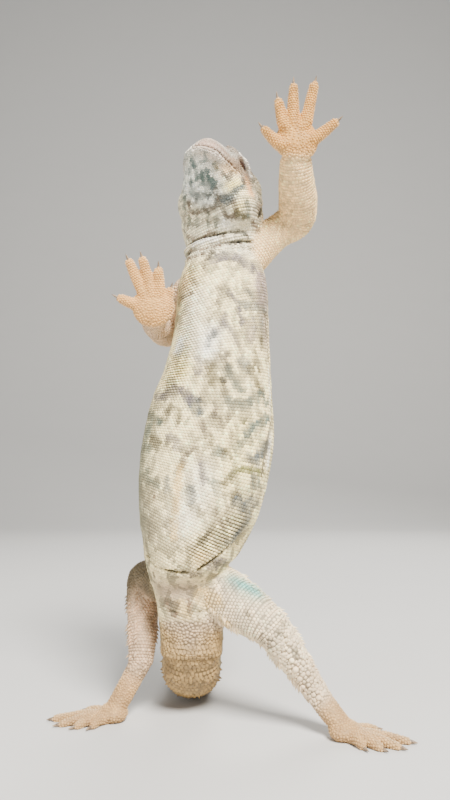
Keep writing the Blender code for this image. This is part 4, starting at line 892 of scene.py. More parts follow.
throat = places[:, 2] > throatForm["from"] * mm
wavering = grainOf(900, 330) * strokeForm["raggedEdge"]
wavering += grainOf(2100, 700) * strokeForm["fineEdge"]
wavering *= np.where(throat, throatForm["ragged"], 1.0)
uneven = np.clip(0.86 + 0.5 * grainOf(420, 260), 0.4, 1.0)
softness = np.where(throat, throatForm["soft"], strokeForm["soft"])
gain = np.where(throat, throatForm["gain"], strokeForm["gain"])
flatPlaces = places * (1.0, 0.0, 1.0)
for paint, strength, width, *stroke in frontMarks:
    gap = pathGap(flatPlaces, [Vector((x, 0, z)) * mm for x, z in stroke])[0] / mm
    reach = width * np.where(throat, throatForm["reach"], strokeForm["reach"])
    share = smooth(reach + softness, reach - softness, gap + wavering) * facingFront * uneven
    amount = np.minimum(strokeForm["strongest"], gain * strength) * share
    tone = tone + (np.array(paints[paint]) - tone) * amount[:, None]

bandPhase = places[:, 2] / (throatBands["pitch"] * mm) + throatBands["wave"] * grainOf(230, 90)
ripple = np.sin(2 * np.pi * bandPhase)
onThroat = facingFront * fromHeight(*throatBands["starts"]) * fromHeight(*throatBands["ends"])
share = smooth(0.05, 0.6, ripple) * np.clip(0.8 + 1.1 * grainOf(1500, 380), 0, 1)
share *= onThroat * np.clip(marks[:, 0] / throatBands["fullMarks"], 0, 1)
lowInk, highInk = np.array(paints["greyBrown"]), np.array(paints["bluegreen"])
bandInk = lowInk + (highInk - lowInk) * fromHeight(*throatBands["bluish"])[:, None]
tone = tone + (bandInk - tone) * (throatBands["strength"] * share)[:, None]

behind = smooth(*facing["back"], hideNormals[:, 1])
for name, back in backTones.items():  # the side of a limb that the photo doesn't show
    share = evened(behind * (regionOf == regionNames.index(name)), hide.data, blending["backs"])[:, None]
    tone = tone + (np.array(back) - tone) * share
    ink = ink + (np.array(unseenInk) - ink) * share
trunkAndNeck = np.isin(regionOf, [regionNames.index(name) for name in ("trunk", "neck")])
onFront = facingFront * fromHeight(*bellyForm["starts"]) * trunkAndNeck
marks[:, 0] *= 1 - bellyForm["fewerMarks"] * onFront
upright = grainOf(1150, 170)  # fine upright streaks
tone = tone * (1 + bellyForm["streaks"] * upright * np.maximum(onFront, facingFront * throat))[:, None]
ridged = np.zeros(len(places))
for radius, *line in ridgedSkin:
    gap = pathGap(places, [Vector(point) * mm for point in line])[0] / (radius * mm)
    ridged = np.maximum(ridged, np.exp(-gap ** 3))
# painted shade: the skin is darkened the deeper it is pressed in, in creases, folds, the mouth, nostrils, ear
# openings and the troughs of the loose skin
creaseShadeShare = np.clip(-push / (1.0 * mm), 0.0, 1.0)
tone *= (1 - bellyForm["shadeInCreases"] * creaseShadeShare)[:, None]
print("skin coloured")


def addColour(mesh, name, values):
    layer = mesh.attributes.new(name, "FLOAT_COLOR", "POINT")
    opaque = np.column_stack([values, np.ones(len(values))])
    layer.data.foreach_set("color", opaque.astype(np.float32).ravel())


def addVectors(mesh, name, values):
    layer = mesh.attributes.new(name, "FLOAT_VECTOR", "POINT")
    layer.data.foreach_set("vector", values.astype(np.float32).ravel())


# finishes: colour comes from the points' own tone, ink and marks, broken up by noise at their own place
def fill(tree, made, inputs):  # a socket is linked to its input, any other value is set
    for name, value in inputs.items():
        if isinstance(value, bpy.types.NodeSocket):
            tree.links.new(value, made.inputs[name])
        else:
            made.inputs[name].default_value = value
    return made


def node(tree, kind, inputs=None, **settings):
    made = tree.nodes.new(kind)
    for name, value in settings.items():
        setattr(made, name, value)
    return fill(tree, made, inputs or {})


def noiseNode(tree, vector, scale, detail=2.0, distortion=0.0):
    inputs = {"Vector": vector, "Scale": scale, "Detail": detail, "Distortion": distortion}
    return node(tree, "ShaderNodeTexNoise", inputs).outputs["Fac"]


def edgeNode(tree, value, low, high):  # rises softly from none at low to all at high
    inputs = {"Value": value, "From Min": low, "From Max": high}
    return node(tree, "ShaderNodeMapRange", inputs, interpolation_type="SMOOTHSTEP").outputs["Result"]


def spreadNode(tree, value, bottom, top):
    return node(tree, "ShaderNodeMapRange",
                {"Value": value, "To Min": bottom, "To Max": top}).outputs["Result"]


def mathNode(tree, operation, *values):
    return node(tree, "ShaderNodeMath", dict(enumerate(values)), operation=operation).outputs[0]


def bumpNode(tree, height, strength, distance):
    inputs = {"Height": height, "Strength": strength, "Distance": distance}
    return node(tree, "ShaderNodeBump", inputs).outputs["Normal"]


def rampNode(tree, value, *stops):
    ramp = node(tree, "ShaderNodeValToRGB", {"Fac": value})
    for element, (position, colour) in zip(ramp.color_ramp.elements, stops):
        element.position, element.color = position, (*colour, 1)
    return ramp.outputs["Color"]


def newMaterial(name):
    material = bpy.data.materials.new(name)
    material.use_nodes = True
    return material, material.node_tree, material.node_tree.nodes["Principled BSDF"]


# the skin: blotches and fine lines of ink, specks that vary shade and gloss, and fine grain as bump
blotchForm = {"squash": 0.8, "detail": 1.5, "warp": 0.9}
lineForm = {"scale": 330.0, "detail": 1.0, "warp": 0.8, "from": 0.085, "to": 0.02}
speckForm = {"scale": 620.0, "shade": (0.76, 1.24), "gloss": 0.1}
grainForm = {"scale": 900.0, "detail": 3.0, "strength": 0.4, "depth": 0.00012}
skinDepth = {"Specular IOR Level": 0.32, "Subsurface Weight": 0.06,
             "Subsurface Radius": (0.0012, 0.0007, 0.0004)}


def hideFinish(name, roughness, streaks=(250.0, 0.55, 0.475, 0.575)):
    material, tree, shader = newMaterial(name)
    toneIn, inkIn, placeIn, marksIn = (node(tree, "ShaderNodeAttribute", attribute_name=layer)
                                       for layer in ("tone", "ink", "place", "marks"))
    place = placeIn.outputs["Vector"]
    parts = node(tree, "ShaderNodeSeparateXYZ", {0: marksIn.outputs["Vector"]})
    size, stretch, low, high = streaks
    tall = node(tree, "ShaderNodeVectorMath", {0: place, 1: (1.0, blotchForm["squash"], stretch)},
                operation="MULTIPLY").outputs["Vector"]
    blotch = noiseNode(tree, tall, size, blotchForm["detail"], blotchForm["warp"])
    coarse = mathNode(tree, "MULTIPLY", edgeNode(tree, blotch, low, high), parts.outputs["X"])
    thread = noiseNode(tree, tall, lineForm["scale"], lineForm["detail"], lineForm["warp"])
    offMiddle = mathNode(tree, "ABSOLUTE", mathNode(tree, "SUBTRACT", thread, 0.5))
    lines = edgeNode(tree, offMiddle, lineForm["from"], lineForm["to"])
    drawn = mathNode(tree, "MULTIPLY", lines, parts.outputs["Y"])
    inked = {"Factor": mathNode(tree, "MAXIMUM", coarse, drawn), "A": toneIn.outputs["Color"],
             "B": inkIn.outputs["Color"]}
    mixed = node(tree, "ShaderNodeMix", inked, data_type="RGBA").outputs["Result"]
    speck = noiseNode(tree, place, speckForm["scale"])
    shaded = node(tree, "ShaderNodeVectorMath",
                  {0: mixed, "Scale": spreadNode(tree, speck, *speckForm["shade"])},
                  operation="SCALE")
    fine = noiseNode(tree, node(tree, "ShaderNodeTexCoord").outputs["Object"], grainForm["scale"],
                     grainForm["detail"])
    fill(tree, shader, {
        "Base Color": shaded.outputs["Vector"],
        "Normal": bumpNode(tree, fine, grainForm["strength"], grainForm["depth"]),
        "Roughness": spreadNode(tree, speck, roughness - speckForm["gloss"], roughness + speckForm["gloss"]),
        **skinDepth})
    return material


def hornFinish(name, deep, pale):
    material, tree, shader = newMaterial(name)
    streaks = noiseNode(tree, node(tree, "ShaderNodeTexCoord").outputs["Object"], 700.0, 3.0)
    fill(tree, shader, {"Base Color": rampNode(tree, streaks, (0.35, deep), (0.7, pale)),
                        "Normal": bumpNode(tree, streaks, 0.3, 0.0001), "Roughness": 0.42})
    return material


def eyeFinish():
    material, tree, shader = newMaterial("wetEye")
    streaks = noiseNode(tree, node(tree, "ShaderNodeTexCoord").outputs["Object"], 1500.0)
    dark, brown = (0.012, 0.006, 0.004), (0.045, 0.022, 0.014)
    fill(tree, shader, {"Base Color": rampNode(tree, streaks, (0.0, dark), (1.0, brown)),
                        "Roughness": 0.12, "Coat Weight": 0.6, "Coat Roughness": 0.05})
    return material


def finishPiece(piece, finish, slot, *nodes, crisp=False):
    piece.data.transform(Matrix.Translation(-origin))
    if crisp:
        piece.data.shade_flat()
    else:
        piece.data.shade_smooth()
    piece.data.materials.clear()
    piece.data.materials.append(finish)
    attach(piece, "root")
    if nodes:
        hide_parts(*nodes)
    return piece


skinFinish = hideFinish("warmSkin", 0.62)
scaleFinish = hideFinish("drySmallScales", 0.56)
throatFinish = hideFinish("dashedThroatScales", 0.56, streaks=(430.0, 0.42, 0.50, 0.58))
tailFinish = hideFinish("keeledTailScales", 0.55)
clawHorn = hornFinish("clawHorn", (0.10, 0.065, 0.04), (0.36, 0.25, 0.15))

# claws: short curved cones that go on from the digits' tips
clawForm = {"length": 3.2 * mm, "droop": 0.28,
            "rings": ((-0.35, 0.85), (0.0, 0.82), (0.3, 0.7), (0.6, 0.5), (0.85, 0.27), (1.0, 0.1))}


def claw(start, way, droop):
    side = way.cross(droop).normalized()
    rings = []
    for share, size in clawForm["rings"]:
        fall = droop * clawForm["length"] * clawForm["droop"] * max(share, 0) ** 2
        rings.append(oval(start + way * clawForm["length"] * share + fall, side, way.cross(side),
                          size * 0.8 * mm, size * mm, size * mm, 14))
    return loft("claw", rings)


def joinedPieces(name, pieces):
    bm = bmesh.new()
    for piece in pieces:
        bm.from_mesh(piece.data)
        bpy.data.objects.remove(piece, do_unlink=True)
    return newObject(name, bm)


claws = []
for hand in hands.values():
    for base, tip in hand["digits"]:
        start, end = Vector(base) * mm, Vector(tip) * mm
        claws.append(claw(end, (end - start).normalized(), Vector((0, -1, 0))))
for foot in feet.values():
    for base, knuckle, tip in toeLines(foot):
        way = Vector((tip.x - knuckle.x, tip.y - knuckle.y, 0)).normalized()
        claws.append(claw(tip, way, Vector((0, 0, -0.3))))
finishPiece(joinedPieces("claws", claws), clawHorn, "hand_skin")

# eyes: balls behind the almond openings of the lids
for side, name in ((1, "left"), (-1, "right")):
    ball = ellipsoid("eyeball_" + name, eyeCentre(side), [eyeForm["radius"]] * 3)
    finishPiece(ball, eyeFinish(), "eye", "eye_" + name)

addVectors(hide.data, "place", places)
# the skin between the scales is darker: partly its own darker colour and partly painted shade in the gaps,
# and on ridged skin the painted shade between the raised rows is deeper
gapColourAndShade = {"legLeft": 0.36, "tail": 0.45, "trunk": 1.0, "head": 0.95}
gapColourAndShadeFactor = np.array([gapColourAndShade.get(name, 0.8) for name in regionNames])[regionOf]
addColour(hide.data, "tone", tone * (gapColourAndShadeFactor * (1 - 0.75 * ridged))[:, None])
addColour(hide.data, "ink", ink)
addVectors(hide.data, "marks", marks)
fleshNodes = ["head", "neck", "torso", "tail_base", "tail_middle", "tail_tip"]
for part in ("upper_arm", "forearm", "hand", "thigh", "shin", "foot"):
    fleshNodes += [part + "_left", part + "_right"]
finishPiece(hide, skinFinish, "skin", *fleshNodes)
print("hide, claws and eyes finished")

# scales: roots are laid in rows over the hide, and a small solid is set on each root
def around(count, across, along, out, squareness=2.0):
    # a closed ring of points in the scale's own frame: across it, along it to the tail, and out of the skin
    ring = []
    for k in range(count):
        c, s = math.cos(2 * math.pi * (k + 0.5) / count), math.sin(2 * math.pi * (k + 0.5) / count)
        ring.append((across * math.copysign(abs(c) ** (2 / squareness), c),
                     along * math.copysign(abs(s) ** (2 / squareness), s), out))
    return ring


def scaleSolid(rings, top):
    count = len(rings[0])
    points = [point for ring in rings for point in ring] + [top]
    faces = [tuple(range(count))[::-1]]
    for level in range(len(rings) - 1):
        for k in range(count):
            a, b = level * count + k, level * count + (k + 1) % count
            faces.append((a, b, b + count, a + count))
    last = (len(rings) - 1) * count
    for k in range(count):
        faces.append((last + k, last + (k + 1) % count, len(points) - 1))
    return np.array(points), faces


def slanted(ring, slant):  # lifts the end of a ring that points to the tail
    return [(x, y, z + slant * y) for x, y, z in ring]


def lifted(ring, shift):
    return [(x, y + shift, z) for x, y, z in ring]


scaleSolids = {
    "tile": scaleSolid([around(8, 0.51, 0.48, -0.5, 3.6), slanted(around(8, 0.45, 0.42, 0.45, 3.4), 0.5)],
                       (0, 0.06, 0.72)),
    "grain": scaleSolid([around(7, 0.5, 0.5, -0.5), around(7, 0.46, 0.46, 0.35),
                         around(7, 0.27, 0.27, 0.82)], (0, 0, 0.95)),
    "keeled": scaleSolid([around(8, 0.49, 0.47, -0.6, 3.6), slanted(around(8, 0.44, 0.43, 0.12, 3.2), 0.55)],
                         (0, 0.40, 0.95)),
    "spine": scaleSolid([around(7, 0.5, 0.5, -0.35), around(7, 0.47, 0.46, 0.08),
                         lifted(around(7, 0.26, 0.24, 0.52), 0.28)],
                        (0, 0.85, 1.0)),
}

# sizes in millimetres: width, distance from row to row, height, and the solid that stands on each root
coatForm = {
    "trunk": (1.25, 1.15, 0.25, "tile"), "neck": (1.05, 0.98, 0.38, "tile"),
    "head": (0.84, 0.79, 0.22, "tile"), "armLeft": (1.30, 1.15, 0.42, "tile"),
    "armRight": (1.30, 1.15, 0.42, "tile"), "legLeft": (1.35, 1.20, 0.46, "tile"),
    "legRight": (1.30, 1.15, 0.46, "tile"), "handLeft": (1.05, 0.95, 0.30, "grain"),
    "handRight": (1.05, 0.95, 0.30, "grain"), "footLeft": (1.10, 1.0, 0.32, "grain"),
    "footRight": (1.10, 1.0, 0.32, "grain"), "tail": (1.55, 2.0, 0.42, "keeled"),
    "tailBand": (1.35, 1.4, 0.42, "keeled"), "tailRoot": (1.2, 1.1, 0.32, "tile"),
    "shin": (1.9, 1.75, 0.55, "tile"), "lids": (0.72, 0.68, 0.26, "grain"),
    "lips": (1.7, 1.5, 0.42, "tile")}
# height, and how far a row of belly scales climbs to the left side
rowSlopes = ((40, -0.30), (60, -0.50), (75, -0.45), (92, -0.30), (110, -0.12), (125, -0.02), (140, 0.06),
             (155, 0.18), (170, 0.28), (185, 0.22), (215, 0.20))

# where no scale stands, how close roots come, and how far a row may jump from one hit of the hide to the next
coatRules = {"crease": 0.42, "eyeball": 4.35, "lids": 6.3, "offFloor": 0.12, "jump": 3.5, "loose": 0.72,
             "looseGaps": 0.84}
lidRows = {"angles": (0.34, 0.50, 0.66, 0.84, 1.02, 1.2, 1.38), "radius": 5.0, "every": 0.72, "long": 1.15}

eyeGap = np.min([np.linalg.norm(places - np.array(eyeCentre(side)), axis=1) for side in (-1, 1)], axis=0)
bare = (push < -coatRules["crease"] * mm) | (eyeGap < coatRules["eyeball"] * mm)
aroundEye = eyeGap < coatRules["lids"] * mm
roots = []
taken = {}
cell = 1.2 * mm


def cellOf(spot):
    return int(spot[0] // cell), int(spot[1] // cell), int(spot[2] // cell)


def crowded(spot, gap):
    x, y, z = cellOf(spot)
    limit = gap * gap
    reach = 1 if gap <= cell else 2
    for i in range(x - reach, x + reach + 1):
        for j in range(y - reach, y + reach + 1):
            for k in range(z - reach, z + reach + 1):
                for a, b, c in taken.get((i, j, k), ()):
                    if (spot[0] - a) ** 2 + (spot[1] - b) ** 2 + (spot[2] - c) ** 2 < limit:
                        return True
    return False


def take(spot):
    taken.setdefault(cellOf(spot), []).append(tuple(spot))


def addRoot(spot, normal, lie, kind, corner, stretch, loose):
    width, row, height, solid = coatForm[kind]
    if not crowded(spot, min(width, row) * loose * mm):
        take(spot)
        addSolid(spot, normal, lie, (width, row * stretch, height), solid, corner)


def addSolid(spot, normal, lie, size, solid, corner):
    roots.append((tuple(spot), tuple(normal), tuple(lie), *size, solid, regionOf[corner], corner))


def rowOfRoots(centre, side, front, kind, region, offset, lie, stretch, casts=120, far=36 * mm):
    # rays out of the centre find the ring that the row follows
    # and roots are set along it from the middle of the front
    spots = []
    for k in range(casts + 1):
        angle = math.pi * (2 * k / casts - 1)
        hit = hideTree.ray_cast(centre, side * math.sin(angle) + front * math.cos(angle), far)[0]
        spots.append(hit)
    width = coatForm[kind][0] * mm
    for turn in (1, -1):
        travelled = 0.0
        target = offset * width if turn == 1 else (1 - offset) * width
        k = casts // 2
        while 0 < k + turn <= casts and 0 <= k + turn:
            here, there = spots[k], spots[k + turn]
            k += turn
            if here is None or there is None or (there - here).length > coatRules["jump"] * mm:
                travelled, target = 0.0, width * 0.5
                continue
            length = (there - here).length
            while travelled + length >= target:
                point = here.lerp(there, (target - travelled) / max(length, 1e-9))
                settle(point, kind, region, lie, stretch)
                target += width
            travelled += length


def settle(point, kind, region, lie, stretch, loose=coatRules["loose"]):
    spot, normal, face = hideTree.find_nearest(point)[:3]
    corner = faceCorner[face]
    if region is not None and regionNames[regionOf[corner]] != region:
        return
    if bare[corner] or spot.z < coatRules["offFloor"] * mm:
        return
    if aroundEye[corner] and kind != "lids":
        return
    lengthen = 1.0 if stretch is None else stretch(spot)
    addRoot(spot, Vector(hideNormals[corner]), lie(spot), kind, corner, lengthen, loose)


def evenStations(points, step):  # a polyline walked in even steps: place and direction
    walked, made, wanted = 0.0, [], 0.0
    for a, b in zip(points, points[1:]):
        length = (b - a).length
        while wanted <= walked + length and length > 0:
            made.append((a.lerp(b, (wanted - walked) / length), (b - a).normalized()))
            wanted += step
        walked += length
    return made


def slopeAt(height):
    return float(np.interp(height / mm, [row[0] for row in rowSlopes], [row[1] for row in rowSlopes]))


def coatTrunk():
    centres = [Vector(row[:3]) * mm for row in spline(trunkRows, 6)]
    for k, (centre, way) in enumerate(evenStations(centres, coatForm["trunk"][1] * mm)):
        slope = slopeAt(centre.z)
        steeper = (slopeAt(centre.z + 2 * mm) - slopeAt(centre.z - 2 * mm)) / (4 * mm)
        side = Vector((1, 0, slope)).normalized()

        def longer(spot):
            return min(1.35, max(0.75, 1 + steeper * (spot.x - centre.x)))

        region = "trunk" if centre.z < 188 * mm else "neck"
        rowOfRoots(centre, side, Vector((0, -1, 0)), region, region, 0.5 * (k % 2), lambda spot: -way, longer)


def coatTube(points, kind, region, front, reverse=1, far=16 * mm):
    for k, (centre, way) in enumerate(evenStations(points, coatForm[kind][1] * mm)):
        facing = (front - way * front.dot(way)).normalized()
        rowOfRoots(centre, way.cross(facing), facing, kind, region, 0.5 * (k % 2),
                   lambda spot: way * reverse, None, 60, far)


def coatHead():
    forward, left, up = headAxes()
    mouthPath = [headMatrix @ point for point in mouthLine(40)[0]]
    for rise in (1.15, -1.15):
        for place, way in evenStations([p + up * rise * mm for p in mouthPath], coatForm["lips"][0] * mm):
            settle(place, "lips", "head", lambda spot: up * rise, None, 0.6)
    for side in (-1, 1):
        along, out, rise = (headTurn.to_3x3() @ axis for axis in eyeFrame(side))
        centre = eyeCentre(side)
        for reach in lidRows["angles"]:
            count = int(2 * math.pi * math.sin(reach) * lidRows["radius"] / lidRows["every"])
            for k in range(count):
                angle = 2 * math.pi * (k + 0.5 * (reach * 10 % 2)) / count
                spoke = along * math.cos(angle) * lidRows["long"] + rise * math.sin(angle)
                ray = out * math.cos(reach) + spoke * math.sin(reach)
                point = centre + ray.normalized() * lidRows["radius"] * mm
                settle(point, "lids", None, lambda spot: along, None, 0.8)
    line = [headMatrix @ (Vector((x, 0, -0.5)) * mm) for x in (-43, -30, -20, -10, -1.2)]
    coatTube(line, "head", "head", -up, -1, 26 * mm)


whorlRows = (0.06, 0.29, 0.52, 0.74)  # where the rows of scales lie on each whorl
widestBand = 5.5 * mm  # shorter whorls get finer scales
tailSpines = {"at": 0.80, "reach": 18 * mm, "size": (2.5, 3.0, 2.7), "below": 0.35, "between": 0.72,
              "firstWhorl": 0.45, "nextWhorls": 0.25, "lastWhorl": 0.45, "uneven": (0.9, 1.1)}


def coatTail():
    starts = whorlStarts()
    for k in range(tailForm["whorls"]):
        pitch = starts[k + 1] - starts[k]
        scale = pitch / (starts[1] - starts[0])
        centre, way, side, back = tailStation(starts[k] + pitch * tailSpines["at"])[:4]
        count = tailForm["spines"] * 2
        for n in range(count):
            angle = 2 * math.pi * (n + 0.5) / count
            out = side * math.cos(angle) + back * math.sin(angle)
            hit, normal, face = hideTree.ray_cast(centre, out, tailSpines["reach"])[:3]
            if hit is None or k == 0 and math.sin(angle) < 0:
                continue
            corner = faceCorner[face]
            if regionNames[regionOf[corner]] != "tail" or hit.z < 0.3 * mm:
                continue
            # spines are smaller on the side that lies on the floor
            upper = min(1.0, max(0.0, 0.62 + 1.5 * math.sin(angle)))
            grow = tailSpines["below"] + (1 - tailSpines["below"]) * upper
            grow *= 1.0 if n % 2 else tailSpines["between"]
            grow *= min(1.0, tailSpines["firstWhorl"] + tailSpines["nextWhorls"] * k)
            grow *= tailSpines["lastWhorl"] + (1 - tailSpines["lastWhorl"]) * scale
            grow *= dice.uniform(*tailSpines["uneven"])
            take(hit)
            addSolid(hit, out, way, [length * grow for length in tailSpines["size"]], "spine", corner)
        for n, share in enumerate(whorlRows):
            centre, way, side, back = tailStation(starts[k] + pitch * share)[:4]
            kind = "tail" if pitch > widestBand else "tailBand"
            rowOfRoots(centre, side, -back, kind, "tail", 0.5 * (n % 2), lambda spot: way, None, 60,
                       tailSpines["reach"])


def coatLimbs():
    for name, joints in limbs.items():
        points = [Vector(point) * mm for point, radius in joints]
        line = [Vector(row) for row in spline([tuple(p) for p in points], 5)]
        knee = len(line) if name != "legLeft" else int(len(line) * 0.56)
        coatTube(line[:knee], name, name, Vector((0.1, -1, 0.2)))
        if knee < len(line):
            coatTube(line[knee:], "shin", name, Vector((0.1, -1, 0.2)))
    for name, hand in hands.items():
        for base, tip in hand["digits"]:
            coatTube([Vector(base) * mm, Vector(tip) * mm], name, name, Vector((0, -1, 0)), 1, 4 * mm)
    for name, foot in feet.items():
        for base, knuckle, tip in toeLines(foot):
            coatTube([base, knuckle, tip], name, name, Vector((0, 0, 1)), 1, 4 * mm)


# pointed scales: lines down the hind legs, and the ring at the end of each whorl of the tail
legSpines = {
    "legLeft": {
        "from": (8.0, -3.0, 48.0), "to": (40.0, -8.7, 17.6), "every": 1.7, "size": (1.8, 1.7, 1.3),
        "rows": ((0.5, 0.2, 0.8), (0.7, -0.25, 0.65), (-0.5, -0.35, -0.8), (-0.6, 0.3, -0.6),
                 (-0.25, -0.6, -0.6),
                 (0.2, 0.9, 0.5), (0.6, 0.8, 0.0))},
    "legRight": {
        "from": (-27.0, 20.0, 46.0), "to": (-25.7, 9.5, 22.0), "every": 2.1, "size": (1.6, 1.6, 1.4),
        "rows": ((-1.0, 0.0, 0.1), (-0.8, -0.6, 0.1), (-0.3, -0.9, 0.1), (0.0, 1.0, 0.2), (-0.7, 0.7, 0.1),
                 (0.8, 0.2, 0.1))}}


spineScatter = {"shift": 0.15, "size": (0.75, 1.15), "toBone": 0.3, "reach": 16 * mm}


def coatSpines():
    for name, form in legSpines.items():
        start, end = Vector(form["from"]) * mm, Vector(form["to"]) * mm
        bonePath = [Vector(point) * mm for point, radius in limbs[name]]
        way = (end - start).normalized()
        count = int((end - start).length / (form["every"] * mm))
        for n, outward in enumerate(form["rows"]):
            for k in range(count):
                shift = dice.uniform(-spineScatter["shift"], spineScatter["shift"])
                along = start.lerp(end, (k + 0.5 * (n % 2) + shift) / count)
                middle = min(bonePath, key=lambda p: (p - along).length)
                middle = along.lerp(middle, spineScatter["toBone"])
                out = Vector(outward)
                out = (out - way * out.dot(way)).normalized()
                hit = hideTree.ray_cast(middle + out * spineScatter["reach"], -out)[0]
                if hit is None:
                    continue
                corner = faceCorner[hideTree.find_nearest(hit)[2]]
                if regionNames[regionOf[corner]] != name or bare[corner]:
                    continue
                size = [length * dice.uniform(*spineScatter["size"]) for length in form["size"]]
                take(hit)
                addSolid(hit, hideNormals[corner], way, size, "spine", corner)


# round pale tubercles above the left ankle, as seen from the front: x, height and width
pearls = (
    (34.0, 24.2, 2.7), (36.8, 26.4, 2.2), (35.6, 20.6, 2.4), (34.2, 18.2, 2.1), (36.9, 17.5, 1.9),
    (32.6, 27.6, 2.2), (31.6, 31.2, 1.9), (38.6, 22.6, 2.0), (34.6, 28.8, 1.8), (38.8, 18.4, 1.7),
    (-1.6, 41.2, 1.7))


pearlForm = {"clear": 0.6, "height": 0.42, "lie": (0.5, 0.0, -0.8)}  # shares of a pearl's width, and its lie


def coatPearls():
    for x, height, width in pearls:
        hit, normal, face = hideTree.ray_cast(Vector((x * mm, -60 * mm, height * mm)), Vector((0, 1, 0)))[:3]
        if hit is not None:
            corner = faceCorner[face]
            for dx, dz in ((0, 0), (0.6, 0), (-0.6, 0), (0, 0.6), (0, -0.6)):
                take(hit + Vector((dx, 0, dz)) * pearlForm["clear"] * width * mm)
            size = (width, width, pearlForm["height"] * width)
            addSolid(hit, hideNormals[corner], pearlForm["lie"], size, "grain", corner)


lieOf = {name: -1.0 for name in ("trunk", "neck", "head")}


def fillGaps():
    # irregular scales wherever the rows left room
    mainLines = {name: [Vector(p) * mm for p, radius in chains[0]] for name, chains in bones.items()}
    ways = {}
    for name, line in mainLines.items():
        ways[name] = (line[-1] - line[0]).normalized() * lieOf.get(name, 1.0)
    for index in np.random.default_rng(5).permutation(len(places)):
        spot = places[index]
        if bare[index] or spot[2] < coatRules["offFloor"] * mm:
            continue
        name = regionNames[regionOf[index]]
        kind = "tailRoot" if name == "tail" and spot[2] > 24 * mm else name
        if aroundEye[index]:
            kind = "lids"
        addRoot(spot, hideNormals[index], ways[name], kind, index, 1.0, coatRules["looseGaps"])


coatPearls()
coatSpines()
coatHead()
coatTrunk()
coatLimbs()
coatTail()
laid = len(roots)
fillGaps()
print("scales laid in rows:", laid, "and between them:", len(roots) - laid)

rootPlaces, rootNormals, rootLies = (np.array([root[k] for root in roots]) for k in range(3))
rootSizes = np.array([root[3:6] for root in roots]) * mm
rootSolids, rootRegions, rootCorners = (np.array([root[k] for root in roots]) for k in (6, 7, 8))

# how much one scale differs from the next, and how scales on ridged skin are wider, shorter and higher
unlike = {"turn": 0.10, "size": 0.07, "shade": 0.07, "onRidges": (0.16, -0.28, 2.6)}
chance = np.random.default_rng(23)
rootTurns = chance.normal(0.0, unlike["turn"], len(roots))
rootSwell = 1.0 + chance.normal(0.0, unlike["size"], (len(roots), 3))
rootSwell *= 1 + ridged[rootCorners][:, None] * unlike["onRidges"]
rootShade = 1.0 + chance.normal(0.0, unlike["shade"], len(roots))

# where each region's unwrapped skin lies on the bake sheet: left, bottom, width and height
bakeSheet = {
    "trunk": (0.0, 0.0, 0.5, 0.6), "tail": (0.0, 0.6, 0.5, 0.4), "head": (0.5, 0.0, 0.3, 0.3),
    "neck": (0.5, 0.3, 0.3, 0.12), "legLeft": (0.5, 0.42, 0.3, 0.28), "armLeft": (0.8, 0.0, 0.2, 0.25),
    "armRight": (0.8, 0.25, 0.2, 0.25), "legRight": (0.8, 0.5, 0.2, 0.25),
    "handLeft": (0.5, 0.7, 0.25, 0.15), "handRight": (0.75, 0.75, 0.25, 0.12),
    "footLeft": (0.5, 0.85, 0.25, 0.15), "footRight": (0.75, 0.87, 0.25, 0.13)}
sheetMargin = 0.004
scalePatch = 0.003  # the share of the sheet that one scale takes


def bakePlaces():
    sheet = np.zeros((len(roots), 2))
    for index, name in enumerate(regionNames):
        chosen = np.nonzero(rootRegions == index)[0]
        if not len(chosen):
            continue
        line = [Vector(p) * mm for p, radius in bones[name][0]]
        if name.startswith(("hand", "foot")):
            line = [Vector(p) * mm for p, radius in bones[name][3]]
        share = pathGap(rootPlaces[chosen], line)[1]
        path = np.array([tuple(p) for p in line])
        steps = np.linspace(0, 1, len(path))
        middle = np.column_stack([np.interp(share, steps, path[:, axis]) for axis in range(3)])
        way = np.array(tuple((line[-1] - line[0]).normalized()))
        front = np.array((0.0, -1.0, 0.0)) if abs(way[1]) < 0.8 else np.array((0.0, 0.0, 1.0))
        front = front - way * (front @ way)
        side = np.cross(way, front)
        spokes = rootPlaces[chosen] - middle
        angle = np.arctan2(spokes @ side, spokes @ front) / (2 * math.pi) + 0.5
        left, bottom, wide, tall = bakeSheet[name]
        sheet[chosen, 0] = left + sheetMargin + (wide - 2 * sheetMargin) * angle
        sheet[chosen, 1] = bottom + sheetMargin + (tall - 2 * sheetMargin) * share
    return sheet


rootSheet = bakePlaces()


